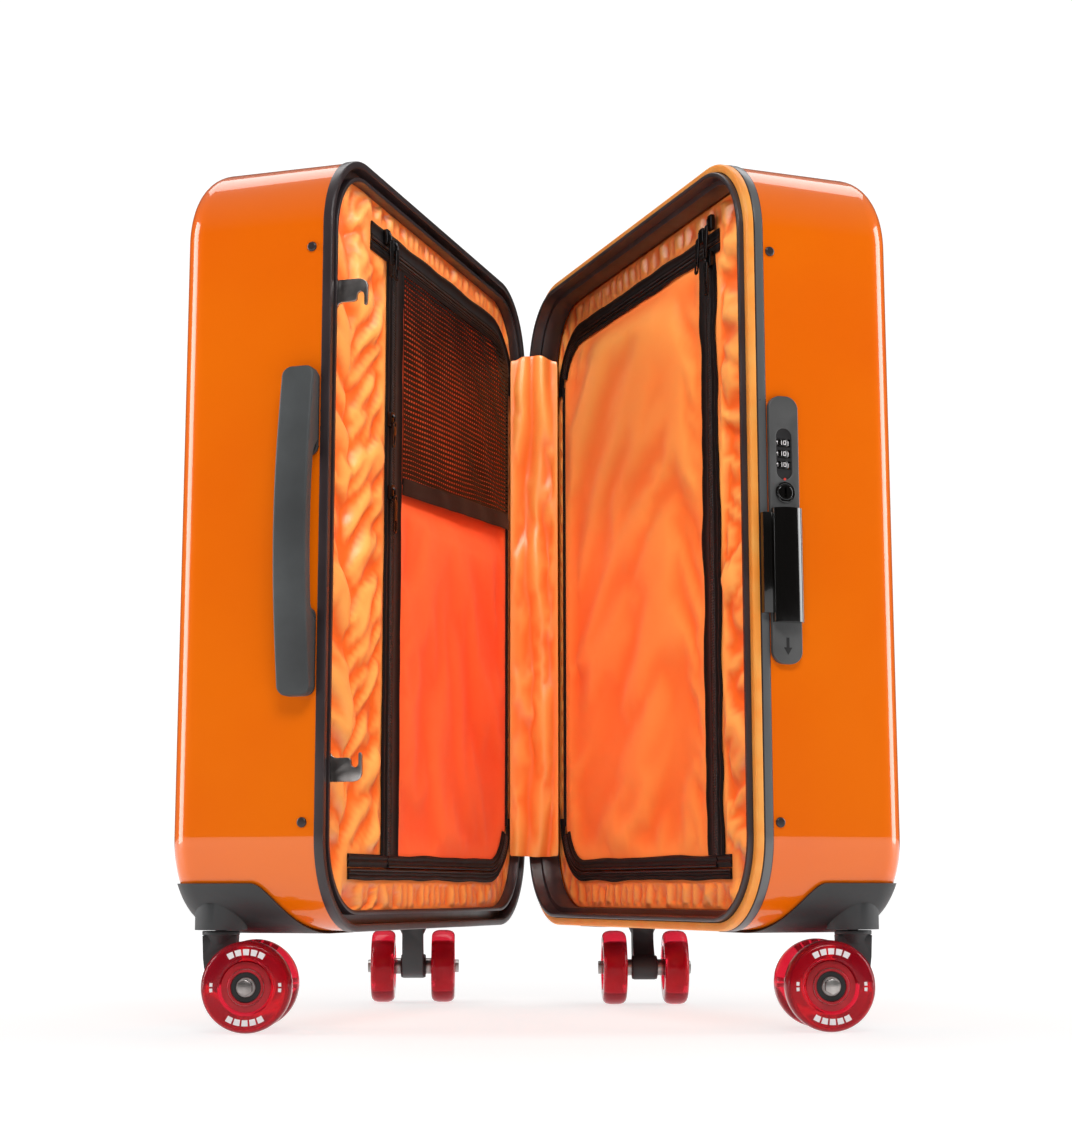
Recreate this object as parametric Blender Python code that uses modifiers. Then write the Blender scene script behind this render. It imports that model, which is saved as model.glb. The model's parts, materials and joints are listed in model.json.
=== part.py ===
"""Hard-shell cabin suitcase, open like a book, modelled as an assembly of separate sub-parts.

Run with: blender --background --python part.py

Each half is modelled in its own case frame, in metres:
    u  runs from the spine wall (0) to the lock wall (CASE_WIDTH)
    v  runs from the closing plane (0) out to the large face (HALF_DEPTH)
    z  is the height above the floor
The two halves stand on their wheels and meet on a vertical hinge axis just outside the spine walls.
"""

import math

import bmesh
import bpy
from mathutils import Matrix, Vector

MM = 0.001

# ---------------------------------------------------------------- driving dimensions
TOTAL_HEIGHT = 0.550
CASE_WIDTH = 0.387
HALF_DEPTH = 0.105
SHELL_BOTTOM = 0.060
BAND_PROUD = 0.0008
SHELL_TOP = TOTAL_HEIGHT - BAND_PROUD
MIDDLE = (SHELL_BOTTOM + SHELL_TOP) / 2
CORNER_RADIUS = 0.057
EDGE_RADIUS = 0.018
SHELL_WALL = 0.0025
GAP = 0.0003

HALF_OPEN = math.radians(19.1)
HINGE_OFFSET = 0.006
HINGE_Y = 0.1755

CORNER_STEPS = 8
EDGE_STEPS = 4

# rims: each profile runs round the case; s is the depth in from the outer wall, v as above
LEFT_SHELL_START = 0.0063
RIGHT_SHELL_START = 0.0115
LEFT_RIM = [(-0.8, 1.0), (0.2, 0.15), (3.9, 0.15), (3.9, 8.8), (9.7, 8.8), (9.7, 1.2), (12.2, 1.2),
            (12.2, 10.3), (4.2, 10.3), (4.2, 14.0), (2.8, 14.0), (2.8, 6.0), (-0.8, 6.0)]
RIGHT_RIM = [(-0.8, 5.2), (4.9, 5.2), (4.9, -2.4), (5.5, -3.0), (7.6, -3.0), (8.2, -2.4), (8.2, 5.2),
             (12.0, 5.2), (12.0, 19.0), (11.0, 19.0), (11.0, 11.3), (4.2, 11.3), (4.2, 13.5),
             (2.8, 13.5), (2.8, 11.2), (-0.8, 11.2)]
RIM_STRIP = [(-0.6, 0.9), (0.1, 0.15), (4.6, 0.15), (4.6, 4.9), (-0.6, 4.9)]

# fabric: the border that closes each half, and the flap that opens in it
COVER_INSET = 0.0128
LEFT_COVER = (0.0085, 0.0100)
RIGHT_COVER = (0.0200, 0.0215)
LEFT_FLAP_U = (0.022, 0.266)
RIGHT_FLAP_U = (0.024, 0.293)
FLAP_Z = (0.0985, 0.5090)
FLAP_SPINE_RADIUS = 0.040
FLAP_ZIP_RADIUS = 0.002
FLAP_GAP = 0.0006
FLAP_THICKNESS = 0.002

# casters
CASTER_INSET = 0.030
CASTER_V = 0.080
CASTER_TRAIL = 0.019
WHEEL_RADIUS = 0.0275
WHEEL_WIDTH = 0.0175
WHEEL_SIDES = 24
WHEEL_SPACING = 0.0457
AXLE_HEIGHT = WHEEL_RADIUS * math.cos(math.pi / WHEEL_SIDES)
BUMPER_WALL = 0.0018
COLLAR_BOTTOM = 0.0606

# lock and latches, on the lock wall of the right half
LOCK_V = 0.0215
LOCK_PLATE_V = (0.0115, 0.0315)
LOCK_PLATE_Z = (0.2195, 0.3856)
LOCK_PLATE_FACE = 0.0038
DIAL_RADIUS = 0.0042
DIAL_PITCH = 0.0069
DIAL_MIDDLE = 0.3492
KEY_Z = 0.3250
SLIDER_Z = (0.2445, 0.3145)
LATCH_TRAVEL = 0.010
LATCH_V = 0.0140
LATCH_PIN_Z = 0.4495

# side handle, on the lock wall of the left half
HANDLE_MIDDLE = 0.300
HANDLE_HALF = 0.101
HANDLE_V = (0.0057, 0.0270)
HANDLE_POST_Z = 0.078
HANDLE_POST_V = 0.0185
HANDLE_RISE = 0.0095

# telescopic handle, in the left half
TROLLEY_U = (0.106, 0.280)
TROLLEY_V = 0.0730
TUBE_U = (0.120, 0.266)
CUP_FLOOR = 0.5190

COLOURS = {
    # name: (red, green, blue, alpha), roughness, metallic
    "orange_shell": ((0.930, 0.165, 0.002, 1.0), 0.12, 0.0),
    "orange_strip": ((0.950, 0.290, 0.020, 1.0), 0.35, 0.0),
    "black_rim": ((0.035, 0.030, 0.032, 1.0), 0.38, 0.0),
    "black_plastic": ((0.045, 0.046, 0.047, 1.0), 0.50, 0.0),
    "black_gloss": ((0.006, 0.005, 0.005, 1.0), 0.10, 0.0),
    "lock_grey": ((0.090, 0.090, 0.092, 1.0), 0.45, 0.0),
    "red_wheel": ((0.700, 0.012, 0.030, 1.0), 0.18, 0.0),
    "steel": ((0.450, 0.450, 0.460, 1.0), 0.30, 1.0),
    "aluminium": ((0.640, 0.640, 0.650, 1.0), 0.35, 1.0),
    "orange_satin": ((0.960, 0.240, 0.030, 1.0), 0.45, 0.0),
    "red_orange_cloth": ((0.930, 0.130, 0.030, 1.0), 0.55, 0.0),
    "dark_mesh": ((0.060, 0.015, 0.010, 1.0), 0.80, 0.0),
    "black_zip": ((0.025, 0.012, 0.010, 1.0), 0.40, 0.0),
}


# ---------------------------------------------------------------- scene and helpers
def clear_scene():
    for item in list(bpy.data.objects):
        bpy.data.objects.remove(item, do_unlink=True)


def new_collection(name):
    collection = bpy.data.collections.new(name)
    bpy.context.scene.collection.children.link(collection)
    return collection


def material(name):
    found = bpy.data.materials.get(name)
    if found:
        return found
    colour, roughness, metallic = COLOURS[name]
    made = bpy.data.materials.new(name)
    made.use_nodes = True
    shader = made.node_tree.nodes["Principled BSDF"]
    shader.inputs["Base Color"].default_value = colour
    shader.inputs["Roughness"].default_value = roughness
    shader.inputs["Metallic"].default_value = metallic
    made.diffuse_color = colour
    return made


clear_scene()
PARTS = new_collection("cabin_suitcase")
CUTTERS = new_collection("cutters")


def new_object(name, data, collection=CUTTERS):
    made = bpy.data.objects.new(name, data)
    collection.objects.link(made)
    if collection is CUTTERS:
        made.hide_render = True
        made.display_type = "WIRE"
    return made


def from_bmesh(bm, name="shape"):
    mesh = bpy.data.meshes.new(name)
    bm.to_mesh(mesh)
    bm.free()
    return new_object(name, mesh)


def round_edges(bm, edges, radius, segments):
    bmesh.ops.bevel(bm, geom=edges, offset=radius, segments=segments, profile=0.5, affect="EDGES")


def box(u, v, z, bevel=0.0, segments=2):
    """A box between two limits on each axis, with its edges rounded by bevel."""
    bm = bmesh.new()
    bmesh.ops.create_cube(bm, size=1.0)
    low = Vector((u[0], v[0], z[0]))
    high = Vector((u[1], v[1], z[1]))
    bmesh.ops.scale(bm, vec=high - low, verts=bm.verts)
    bmesh.ops.translate(bm, vec=(low + high) / 2, verts=bm.verts)
    if bevel:
        round_edges(bm, bm.edges[:], bevel, segments)
    return from_bmesh(bm)


def cylinder(centre, axis, radius, length, sides=20, end_radius=None):
    """A cylinder, or a cone with end_radius at its far end, round a centre along an axis."""
    bm = bmesh.new()
    far = radius if end_radius is None else end_radius
    bmesh.ops.create_cone(bm, cap_ends=True, segments=sides, radius1=radius, radius2=far, depth=length)
    turn = Vector((0, 0, 1)).rotation_difference(Vector(axis)).to_matrix().to_4x4()
    bmesh.ops.transform(bm, matrix=Matrix.Translation(centre) @ turn, verts=bm.verts)
    return from_bmesh(bm)


def turned(profile, sides, phase=0.0):
    """A profile of (radius, height) points turned round the Z axis with a Screw modifier."""
    mesh = bpy.data.meshes.new("profile")
    points = [(radius, 0.0, height) for radius, height in profile]
    count = len(points)
    mesh.from_pydata(points, [(i, (i + 1) % count) for i in range(count)], [])
    made = new_object("turned", mesh)
    screw = made.modifiers.new("Screw", "SCREW")
    screw.steps = screw.render_steps = sides
    screw.merge_threshold = 0.00001
    screw.use_merge_vertices = True
    screw.use_normal_calculate = True
    made.rotation_euler.z = phase
    return made


def rounded_rectangle(x, y, radius, steps=CORNER_STEPS):
    """Points, anticlockwise from the far high corner, of a rectangle between two limits on each axis.

    radius is one number, or one for each corner in that order.
    """
    radii = radius if isinstance(radius, tuple) else (radius,) * 4
    points = []
    for (sign_x, sign_y, start), corner in zip(((1, 1, 0), (-1, 1, 90), (-1, -1, 180), (1, -1, 270)), radii):
        centre_x = x[1] - corner if sign_x > 0 else x[0] + corner
        centre_y = y[1] - corner if sign_y > 0 else y[0] + corner
        for i in range(steps + 1):
            angle = math.radians(start + 90 * i / steps)
            points.append((centre_x + corner * math.cos(angle), centre_y + corner * math.sin(angle)))
    return points


def add_spline(curve, points):
    spline = curve.splines.new("POLY")
    spline.points.add(len(points) - 1)
    for point, (x, y) in zip(spline.points, points):
        point.co = (x, y, 0, 1)
    spline.use_cyclic_u = True


UZ_PLANE = Matrix(((1, 0, 0), (0, 0, -1), (0, 1, 0))).to_4x4()
VZ_PLANE = Matrix(((0, 0, 1), (1, 0, 0), (0, 1, 0))).to_4x4()
UV_PLANE = Matrix.Identity(4)


def plate(loops, plane, offset, thickness, bevel=0.0):
    """A flat outline, with holes if it has more than one loop, centred on offset across its plane."""
    curve = bpy.data.curves.new("outline", "CURVE")
    curve.dimensions = "2D"
    curve.fill_mode = "BOTH"
    curve.extrude = thickness / 2 - bevel
    curve.bevel_depth = bevel
    curve.bevel_resolution = 0
    curve.offset = -bevel
    for points in loops:
        add_spline(curve, points)
    made = new_object("plate", curve)
    across = {"UZ": Vector((0, offset, 0)), "VZ": Vector((offset, 0, 0)), "UV": Vector((0, 0, offset))}
    planes = {"UZ": UZ_PLANE, "VZ": VZ_PLANE, "UV": UV_PLANE}
    made.matrix_world = Matrix.Translation(across[plane]) @ planes[plane]
    return as_mesh(made)


def swept_ring(profile):
    """A rim profile of (s, v) points in millimetres, swept round the outline of the case."""
    path = bpy.data.curves.new("path", "CURVE")
    path.dimensions = "2D"
    path.fill_mode = "NONE"
    add_spline(path, rounded_rectangle((0, CASE_WIDTH), (SHELL_BOTTOM, SHELL_TOP), CORNER_RADIUS))
    section = bpy.data.curves.new("section", "CURVE")
    section.dimensions = "2D"
    add_spline(section, [(s * MM, -v * MM) for s, v in profile])
    path.bevel_mode = "OBJECT"
    path.bevel_object = new_object("section", section)
    made = new_object("ring", path)
    made.matrix_world = UZ_PLANE
    return as_mesh(made)


def as_mesh(source):
    """Replaces an object by a plain mesh object of its evaluated shape, with its seams welded."""
    bpy.context.view_layer.update()
    graph = bpy.context.evaluated_depsgraph_get()
    mesh = bpy.data.meshes.new_from_object(source.evaluated_get(graph))
    mesh.transform(source.matrix_world)
    bm = bmesh.new()
    bm.from_mesh(mesh)
    bmesh.ops.remove_doubles(bm, verts=bm.verts, dist=0.000005)
    bmesh.ops.dissolve_degenerate(bm, edges=bm.edges, dist=0.000002)
    bmesh.ops.recalc_face_normals(bm, faces=bm.faces)
    bm.to_mesh(mesh)
    bm.free()
    bpy.data.objects.remove(source, do_unlink=True)
    return new_object("mesh", mesh)


def combine(target, other, operation):
    boolean = target.modifiers.new(operation.title(), "BOOLEAN")
    boolean.operation = operation
    boolean.solver = "EXACT"
    boolean.object = other
    return target


def cut(target, *cutters):
    for cutter in cutters:
        combine(target, cutter, "DIFFERENCE")
    return target


def join(target, *others):
    for other in others:
        combine(target, other, "UNION")
    return target


def keep(target, *others):
    for other in others:
        combine(target, other, "INTERSECT")
    return target


def mirrored(source, axis, about=0.0):
    """A mirror image of a mesh object across a plane at about on axis 0, 1 or 2, with its faces outward."""
    bm = bmesh.new()
    bm.from_mesh(source.data)
    for vert in bm.verts:
        vert.co[axis] = 2 * about - vert.co[axis]
    bmesh.ops.reverse_faces(bm, faces=bm.faces)
    return from_bmesh(bm)


def empty(name, parent=None, location=(0, 0, 0), turn=0.0):
    made = bpy.data.objects.new(name, None)
    made.empty_display_size = 0.02
    PARTS.objects.link(made)
    made.parent = parent
    made.location = location
    made.rotation_euler.z = turn
    return made


def install(name, shape, parent, colour, flip=False, origin=(0, 0, 0)):
    """Turns a finished shape into a named sub-part: baked, flipped for the left half, and parented."""
    made = as_mesh(shape)
    if flip:
        made = mirrored(made, 1)
    made.data.transform(Matrix.Translation(-Vector(origin)))
    made.name = name
    made.data.name = name
    made.data.materials.clear()
    made.data.materials.append(material(colour))
    CUTTERS.objects.unlink(made)
    PARTS.objects.link(made)
    made.hide_render = False
    made.display_type = "TEXTURED"
    made.parent = parent
    return made


class Half:
    """One half of the case: its frame, and the sign that turns v into the local Y axis."""

    def __init__(self, name, sign, turn):
        self.name = name
        self.flip = sign < 0
        self.sign = sign
        self.turn = turn
        self.hinge = empty(name + "_hinge_axis", None, (0, HINGE_Y, 0), turn)
        self.case = empty(name + "_case", self.hinge, (HINGE_OFFSET, 0, 0))

    def add(self, name, shape, colour, parent=None, origin=(0, 0, 0)):
        """A sub-part whose shape is in case coordinates; origin is its parent empty's place there."""
        local = (origin[0], self.sign * origin[1], origin[2])
        return install(name, shape, parent or self.case, colour, self.flip, local)

    def joint(self, name, origin, parent=None, turn=0.0, parent_origin=(0, 0, 0)):
        place = Vector(origin) - Vector(parent_origin)
        place.y *= self.sign
        return empty(name, parent or self.case, place, turn)


LEFT = Half("left", -1, -math.pi / 2 - HALF_OPEN)
RIGHT = Half("right", 1, -math.pi / 2 + HALF_OPEN)


# ---------------------------------------------------------------- shells and linings
def case_body(start, grow=0.0, closed=True):
    """The outer form of a half from v = start to the large face, grown outward all round."""
    u = (-grow, CASE_WIDTH + grow)
    v = (start, HALF_DEPTH + grow)
    z = (SHELL_BOTTOM - grow, SHELL_TOP + grow)
    bm = bmesh.new()
    bmesh.ops.create_cube(bm, size=1.0)
    low = Vector((u[0], v[0], z[0]))
    high = Vector((u[1], v[1], z[1]))
    bmesh.ops.scale(bm, vec=high - low, verts=bm.verts)
    bmesh.ops.translate(bm, vec=(low + high) / 2, verts=bm.verts)
    along_v = [e for e in bm.edges if abs(e.verts[0].co.y - e.verts[1].co.y) > 0.001]
    round_edges(bm, along_v, CORNER_RADIUS + grow, CORNER_STEPS)
    outer = [e for e in bm.edges if all(abs(p.co.y - v[1]) < 1e-6 for p in e.verts)]
    round_edges(bm, outer, EDGE_RADIUS + grow, EDGE_STEPS)
    if not closed:
        rim = [f for f in bm.faces if all(abs(p.co.y - v[0]) < 1e-6 for p in f.verts)]
        bmesh.ops.delete(bm, geom=rim, context="FACES")
    return from_bmesh(bm)


def tub(start, grow, wall):
    """An open tray that follows the case: a surface with Solidify, thickened inward."""
    surface = case_body(start, grow, closed=False)
    solidify = surface.modifiers.new("Solidify", "SOLIDIFY")
    solidify.thickness = wall
    solidify.offset = -1
    solidify.use_even_offset = True
    return as_mesh(surface)


def make_shells():
    left = tub(LEFT_SHELL_START, 0.0, SHELL_WALL)
    cup_cut = box((0.0987, 0.2873), (0.0607, 0.0853), (0.530, 0.560))
    cut(left, cup_cut)
    for z in (HANDLE_MIDDLE - HANDLE_POST_Z, HANDLE_MIDDLE + HANDLE_POST_Z):
        cut(left, cylinder((CASE_WIDTH, HANDLE_POST_V, z), (1, 0, 0), 0.0034, 0.010, 16))
    LEFT.add("left_shell", left, "orange_shell")
    right = tub(RIGHT_SHELL_START, 0.0, SHELL_WALL)
    cut(right, box((CASE_WIDTH - 0.006, CASE_WIDTH + 0.006), (0.0143, 0.0285), (0.2560, 0.3720)))
    RIGHT.add("right_shell", right, "orange_shell")


def make_linings():
    outline = rounded_rectangle((0.0050, CASE_WIDTH - 0.0050), (0.0660, 0.5110), 0.050)
    left = plate([outline], "UZ", (0.0200 + 0.0595) / 2, 0.0395)
    hollow = rounded_rectangle((0.0062, CASE_WIDTH - 0.0062), (0.0672, 0.5098), 0.0488)
    cut(left, plate([hollow], "UZ", (0.0150 + 0.0583) / 2, 0.0433))
    LEFT.add("left_lining", left, "orange_satin")
    RIGHT.add("right_lining", tub(0.0240, -0.0034, 0.0012), "orange_satin")


# ---------------------------------------------------------------- rims
def make_rims():
    LEFT.add("left_rim_frame", swept_ring(LEFT_RIM), "black_rim")
    right = swept_ring(RIGHT_RIM)
    for z in (LATCH_PIN_Z - LATCH_TRAVEL / 2, 2 * MIDDLE - LATCH_PIN_Z + LATCH_TRAVEL / 2):
        slot_u = (CASE_WIDTH - 0.0125, CASE_WIDTH - 0.0105)
        cut(right, box(slot_u, (0.0116, 0.0165), (z - 0.0080, z + 0.0080)))
    RIGHT.add("right_rim_frame", right, "black_rim")
    RIGHT.add("right_rim_strip", swept_ring(RIM_STRIP), "orange_strip")


# ---------------------------------------------------------------- fabric covers and flaps
def flap_outline(flap_u, outset):
    """The flap has wide corners at the spine and nearly square ones where its zips cross."""
    wide, square = FLAP_SPINE_RADIUS + outset, FLAP_ZIP_RADIUS + outset
    limits = (flap_u[0] - outset, flap_u[1] + outset), (FLAP_Z[0] - outset, FLAP_Z[1] + outset)
    return rounded_rectangle(*limits, (square, wide, wide, square), 6)


def cover(layer, flap_u):
    outer = rounded_rectangle((COVER_INSET, CASE_WIDTH - COVER_INSET),
                              (SHELL_BOTTOM + COVER_INSET, SHELL_TOP - COVER_INSET),
                              CORNER_RADIUS - COVER_INSET)
    return plate([outer, flap_outline(flap_u, FLAP_GAP)], "UZ", sum(layer) / 2, layer[1] - layer[0])


def flap(front, flap_u):
    return plate([flap_outline(flap_u, 0.0)], "UZ", front + FLAP_THICKNESS / 2, FLAP_THICKNESS)


def make_fabric():
    LEFT.add("left_fabric_cover", cover(LEFT_COVER, LEFT_FLAP_U), "orange_satin")
    RIGHT.add("right_fabric_cover", cover(RIGHT_COVER, RIGHT_FLAP_U), "orange_satin")

    left_axis = (LEFT_FLAP_U[0] - 0.0005, LEFT_COVER[0], 0)
    swing = LEFT.joint("left_flap_axis", left_axis)
    LEFT.add("left_flap", flap(LEFT_COVER[0], LEFT_FLAP_U), "red_orange_cloth", swing, left_axis)
    pocket = [(0.030, 0.3615), (0.236, 0.3480), (0.236, 0.4950), (0.225, 0.5020), (0.045, 0.5020),
              (0.030, 0.4870)]
    LEFT.add("mesh_pocket", plate([pocket], "UZ", 0.0072, 0.0010), "dark_mesh", swing, left_axis)

    right_axis = (RIGHT_FLAP_U[0] - 0.0005, RIGHT_COVER[0], 0)
    swing = RIGHT.joint("right_flap_axis", right_axis)
    RIGHT.add("right_flap", flap(RIGHT_COVER[0], RIGHT_FLAP_U), "orange_satin", swing, right_axis)

    LEFT.add("spine_gusset_left", box((0.0134, 0.0206), (0.0050, 0.0060), (0.110, 0.500)), "orange_satin")
    RIGHT.add("spine_gusset_right", box((0.0134, 0.0226), (0.0140, 0.0150), (0.110, 0.500)), "orange_satin")


def zip_outline(u, top, drop):
    """The face of a zip slider with its pull tab hanging below it, from z = top down by drop."""
    body, neck, tab = 0.0040, 0.0012, 0.0024
    shoulder, waist = top - 0.0110, top - 0.0140
    low = top - drop
    right_side = [(tab, low), (tab, waist), (neck, waist), (neck, shoulder), (body, shoulder), (body, top)]
    left_side = [(-x, z) for x, z in reversed(right_side)]
    return [(u + x, z) for x, z in right_side + left_side]


def make_zip_sliders():
    sliders = [("zip_slider_left_high", LEFT, LEFT_FLAP_U[1] + 0.0056, 0.5180, 0.0280, 0.0060),
               ("zip_slider_left_low", LEFT, LEFT_FLAP_U[1] + 0.0056, 0.3500, 0.0330, 0.0060),
               ("zip_slider_right", RIGHT, RIGHT_FLAP_U[1] + 0.0056, 0.5050, 0.0290, 0.0175)]
    for name, half, u, top, drop, v in sliders:
        place = (u, v, top)
        parent = half.joint(name + "_path", place)
        shape = plate([zip_outline(u, top, drop)], "UZ", v, 0.0030)
        half.add(name, shape, "black_zip", parent, place)


# ---------------------------------------------------------------- spine hinges
def make_spine_hinges():
    for level, low in (("upper", 0.410), ("lower", 0.140)):
        z = (low, low + 0.060)
        third = 0.015
        axis = (-HINGE_OFFSET, 0.0)
        web_u = (-HINGE_OFFSET, -0.0011)

        def knuckle(bottom, top):
            barrel = cylinder((*axis, (bottom + top) / 2), (0, 0, 1), 0.0030, top - bottom, 16)
            return join(barrel, box(web_u, (0.0002, 0.0030), (bottom, top)))

        left = box((-0.0026, -0.0011), (0.0015, 0.0240), z)
        join(left, as_mesh(knuckle(z[0], z[0] + third)), as_mesh(knuckle(z[1] - third, z[1])))
        cut(left, cylinder((*axis, low + 0.030), (0, 0, 1), 0.0016, 0.070, 16))
        LEFT.add("hinge_leaf_left_" + level, left, "steel")

        right = box((-0.0026, -0.0011), (0.0015, 0.0240), z)
        join(right, as_mesh(knuckle(z[0] + third + GAP, z[1] - third - GAP)))
        cut(right, cylinder((*axis, low + 0.030), (0, 0, 1), 0.0016, 0.070, 16))
        RIGHT.add("hinge_leaf_right_" + level, right, "steel")

        pin = cylinder((*axis, low + 0.030), (0, 0, 1), 0.0013, 0.061, 16)
        LEFT.add("hinge_pin_" + level, pin, "steel")


# ---------------------------------------------------------------- bumpers and casters
def bumper_shape():
    """The corner guard of the lower lock-side corner, in case coordinates."""
    top, start_v, full_v = 0.0886, 0.0180, 0.0500
    low = SHELL_BOTTOM - 0.010
    side = [(HALF_DEPTH + 0.01, low), (HALF_DEPTH + 0.01, top)]
    steps = 8
    for i in range(steps + 1):
        t = i / steps
        ease = (1 - math.cos(math.pi * t)) / 2
        side.append((full_v + (start_v - full_v) * t, top + (SHELL_BOTTOM - 0.002 - top) * ease))
    side.append((start_v, low))
    side_prism = plate([side], "VZ", CASE_WIDTH - 0.05, 0.14)

    far_u, full_u = CASE_WIDTH - 0.098, CASE_WIDTH - 0.0615
    top += 0.0013
    front = [(CASE_WIDTH + 0.01, low), (CASE_WIDTH + 0.01, top)]
    for i in range(steps + 1):
        t = i / steps
        ease = (1 - math.cos(math.pi * t)) / 2
        front.append((full_u + (far_u - full_u) * t, top + (SHELL_BOTTOM - 0.002 - top) * ease))
    front.append((far_u, low))
    front_prism = plate([front], "UZ", 0.06, 0.12)
    region = as_mesh(keep(side_prism, front_prism))

    collar_centre = (CASE_WIDTH - CASTER_INSET, CASTER_V, COLLAR_BOTTOM + 0.008)
    collar = cylinder(collar_centre, (0, 0, 1), 0.0160, 0.016, 28)
    skin = as_mesh(join(case_body(0.004, BUMPER_WALL), collar))
    cut(skin, case_body(0.002, GAP), cylinder(collar_centre, (0, 0, 1), 0.0040, 0.030, 12))
    skin = keep(as_mesh(skin), region)
    return as_mesh(skin)


def make_bumpers():
    shape = bumper_shape()
    spine_shape = mirrored(shape, 0, CASE_WIDTH / 2)
    for half in (LEFT, RIGHT):
        for end, source in (("front", shape), ("rear", spine_shape)):
            half.add(f"bumper_{half.name}_{end}", new_object("copy", source.data.copy()), "black_plastic")
    bpy.data.objects.remove(shape, do_unlink=True)
    bpy.data.objects.remove(spine_shape, do_unlink=True)


def fork_shape():
    """Caster fork with its kingpin, axle and lock nuts; the swivel axis is Z and it trails along +X."""
    trail, axle = CASTER_TRAIL, AXLE_HEIGHT
    arm = [(-0.0098, 0.0560), (-0.0098, 0.0440), (-0.0060, 0.0300), (0.0020, 0.0205), (0.0120, 0.0185)]
    boss = 0.0092
    for i in range(7):
        angle = math.radians(-110 + 30 * i)
        arm.append((trail + boss * math.cos(angle), axle + boss * math.sin(angle)))
    arm += [(0.0160, 0.0420), (0.0098, 0.0480), (0.0098, 0.0560)]
    body = plate([arm], "UZ", 0.0, 0.0154)
    hub = cylinder((trail, 0, axle), (0, 1, 0), boss - 0.0003, 0.0186, 20)
    neck = cylinder((0, 0, 0.0550), (0, 0, 1), 0.0080, 0.0060, 20, 0.0110)
    cap = cylinder((0, 0, 0.0587), (0, 0, 1), 0.0114, 0.0026, 20)
    kingpin = cylinder((0, 0, 0.0600), (0, 0, 1), 0.0034, 0.0096, 12)
    axle_rod = cylinder((trail, 0, axle), (0, 1, 0), 0.0039, 0.0660, 12)
    shape = join(body, hub, neck, cap, kingpin, axle_rod)
    for side in (-1, 1):
        shoulder = cylinder((trail, side * 0.01225, axle), (0, 1, 0), 0.0060, 0.0065, 12)
        nut = cylinder((trail, side * 0.0327, axle), (0, 1, 0), 0.0062, 0.0050, 6)
        join(shape, shoulder, nut)
    return as_mesh(shape)


def wheel_shape():
    """A urethane wheel with its two bearings, turned round Z."""
    half = WHEEL_WIDTH / 2
    side = [(0.0043, 0.0070), (0.0115, 0.0070), (0.0125, half), (0.0245, half), (0.0270, 0.0070),
            (WHEEL_RADIUS, 0.0050)]
    profile = side + [(radius, -height) for radius, height in reversed(side)]
    shape = as_mesh(turned(profile, WHEEL_SIDES, math.pi / WHEEL_SIDES))
    shape.data.transform(Matrix.Rotation(math.pi / 2, 4, "X"))
    return shape


def make_casters():
    fork, wheel = fork_shape(), wheel_shape()
    # where each caster stands, and the world direction in which it trails
    places = [(LEFT, "front", CASE_WIDTH - CASTER_INSET, 0), (LEFT, "rear", CASTER_INSET, 90),
              (RIGHT, "front", CASE_WIDTH - CASTER_INSET, 180), (RIGHT, "rear", CASTER_INSET, -90)]
    for half, end, u, trail_degrees in places:
        label = f"caster_{half.name}_{end}"
        turn = math.radians(trail_degrees) - half.turn
        swivel = half.joint(label + "_swivel", (u, CASTER_V, 0), turn=turn)
        install(label + "_fork", new_object("copy", fork.data.copy()), swivel, "black_plastic")
        for side, name in ((-1, "near"), (1, "far")):
            place = (CASTER_TRAIL, side * WHEEL_SPACING / 2, AXLE_HEIGHT)
            axle = empty(f"{label}_{name}_axle", swivel, place)
            install(f"{label}_wheel_{name}", new_object("copy", wheel.data.copy()), axle, "red_wheel")
    bpy.data.objects.remove(fork, do_unlink=True)
    bpy.data.objects.remove(wheel, do_unlink=True)


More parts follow.
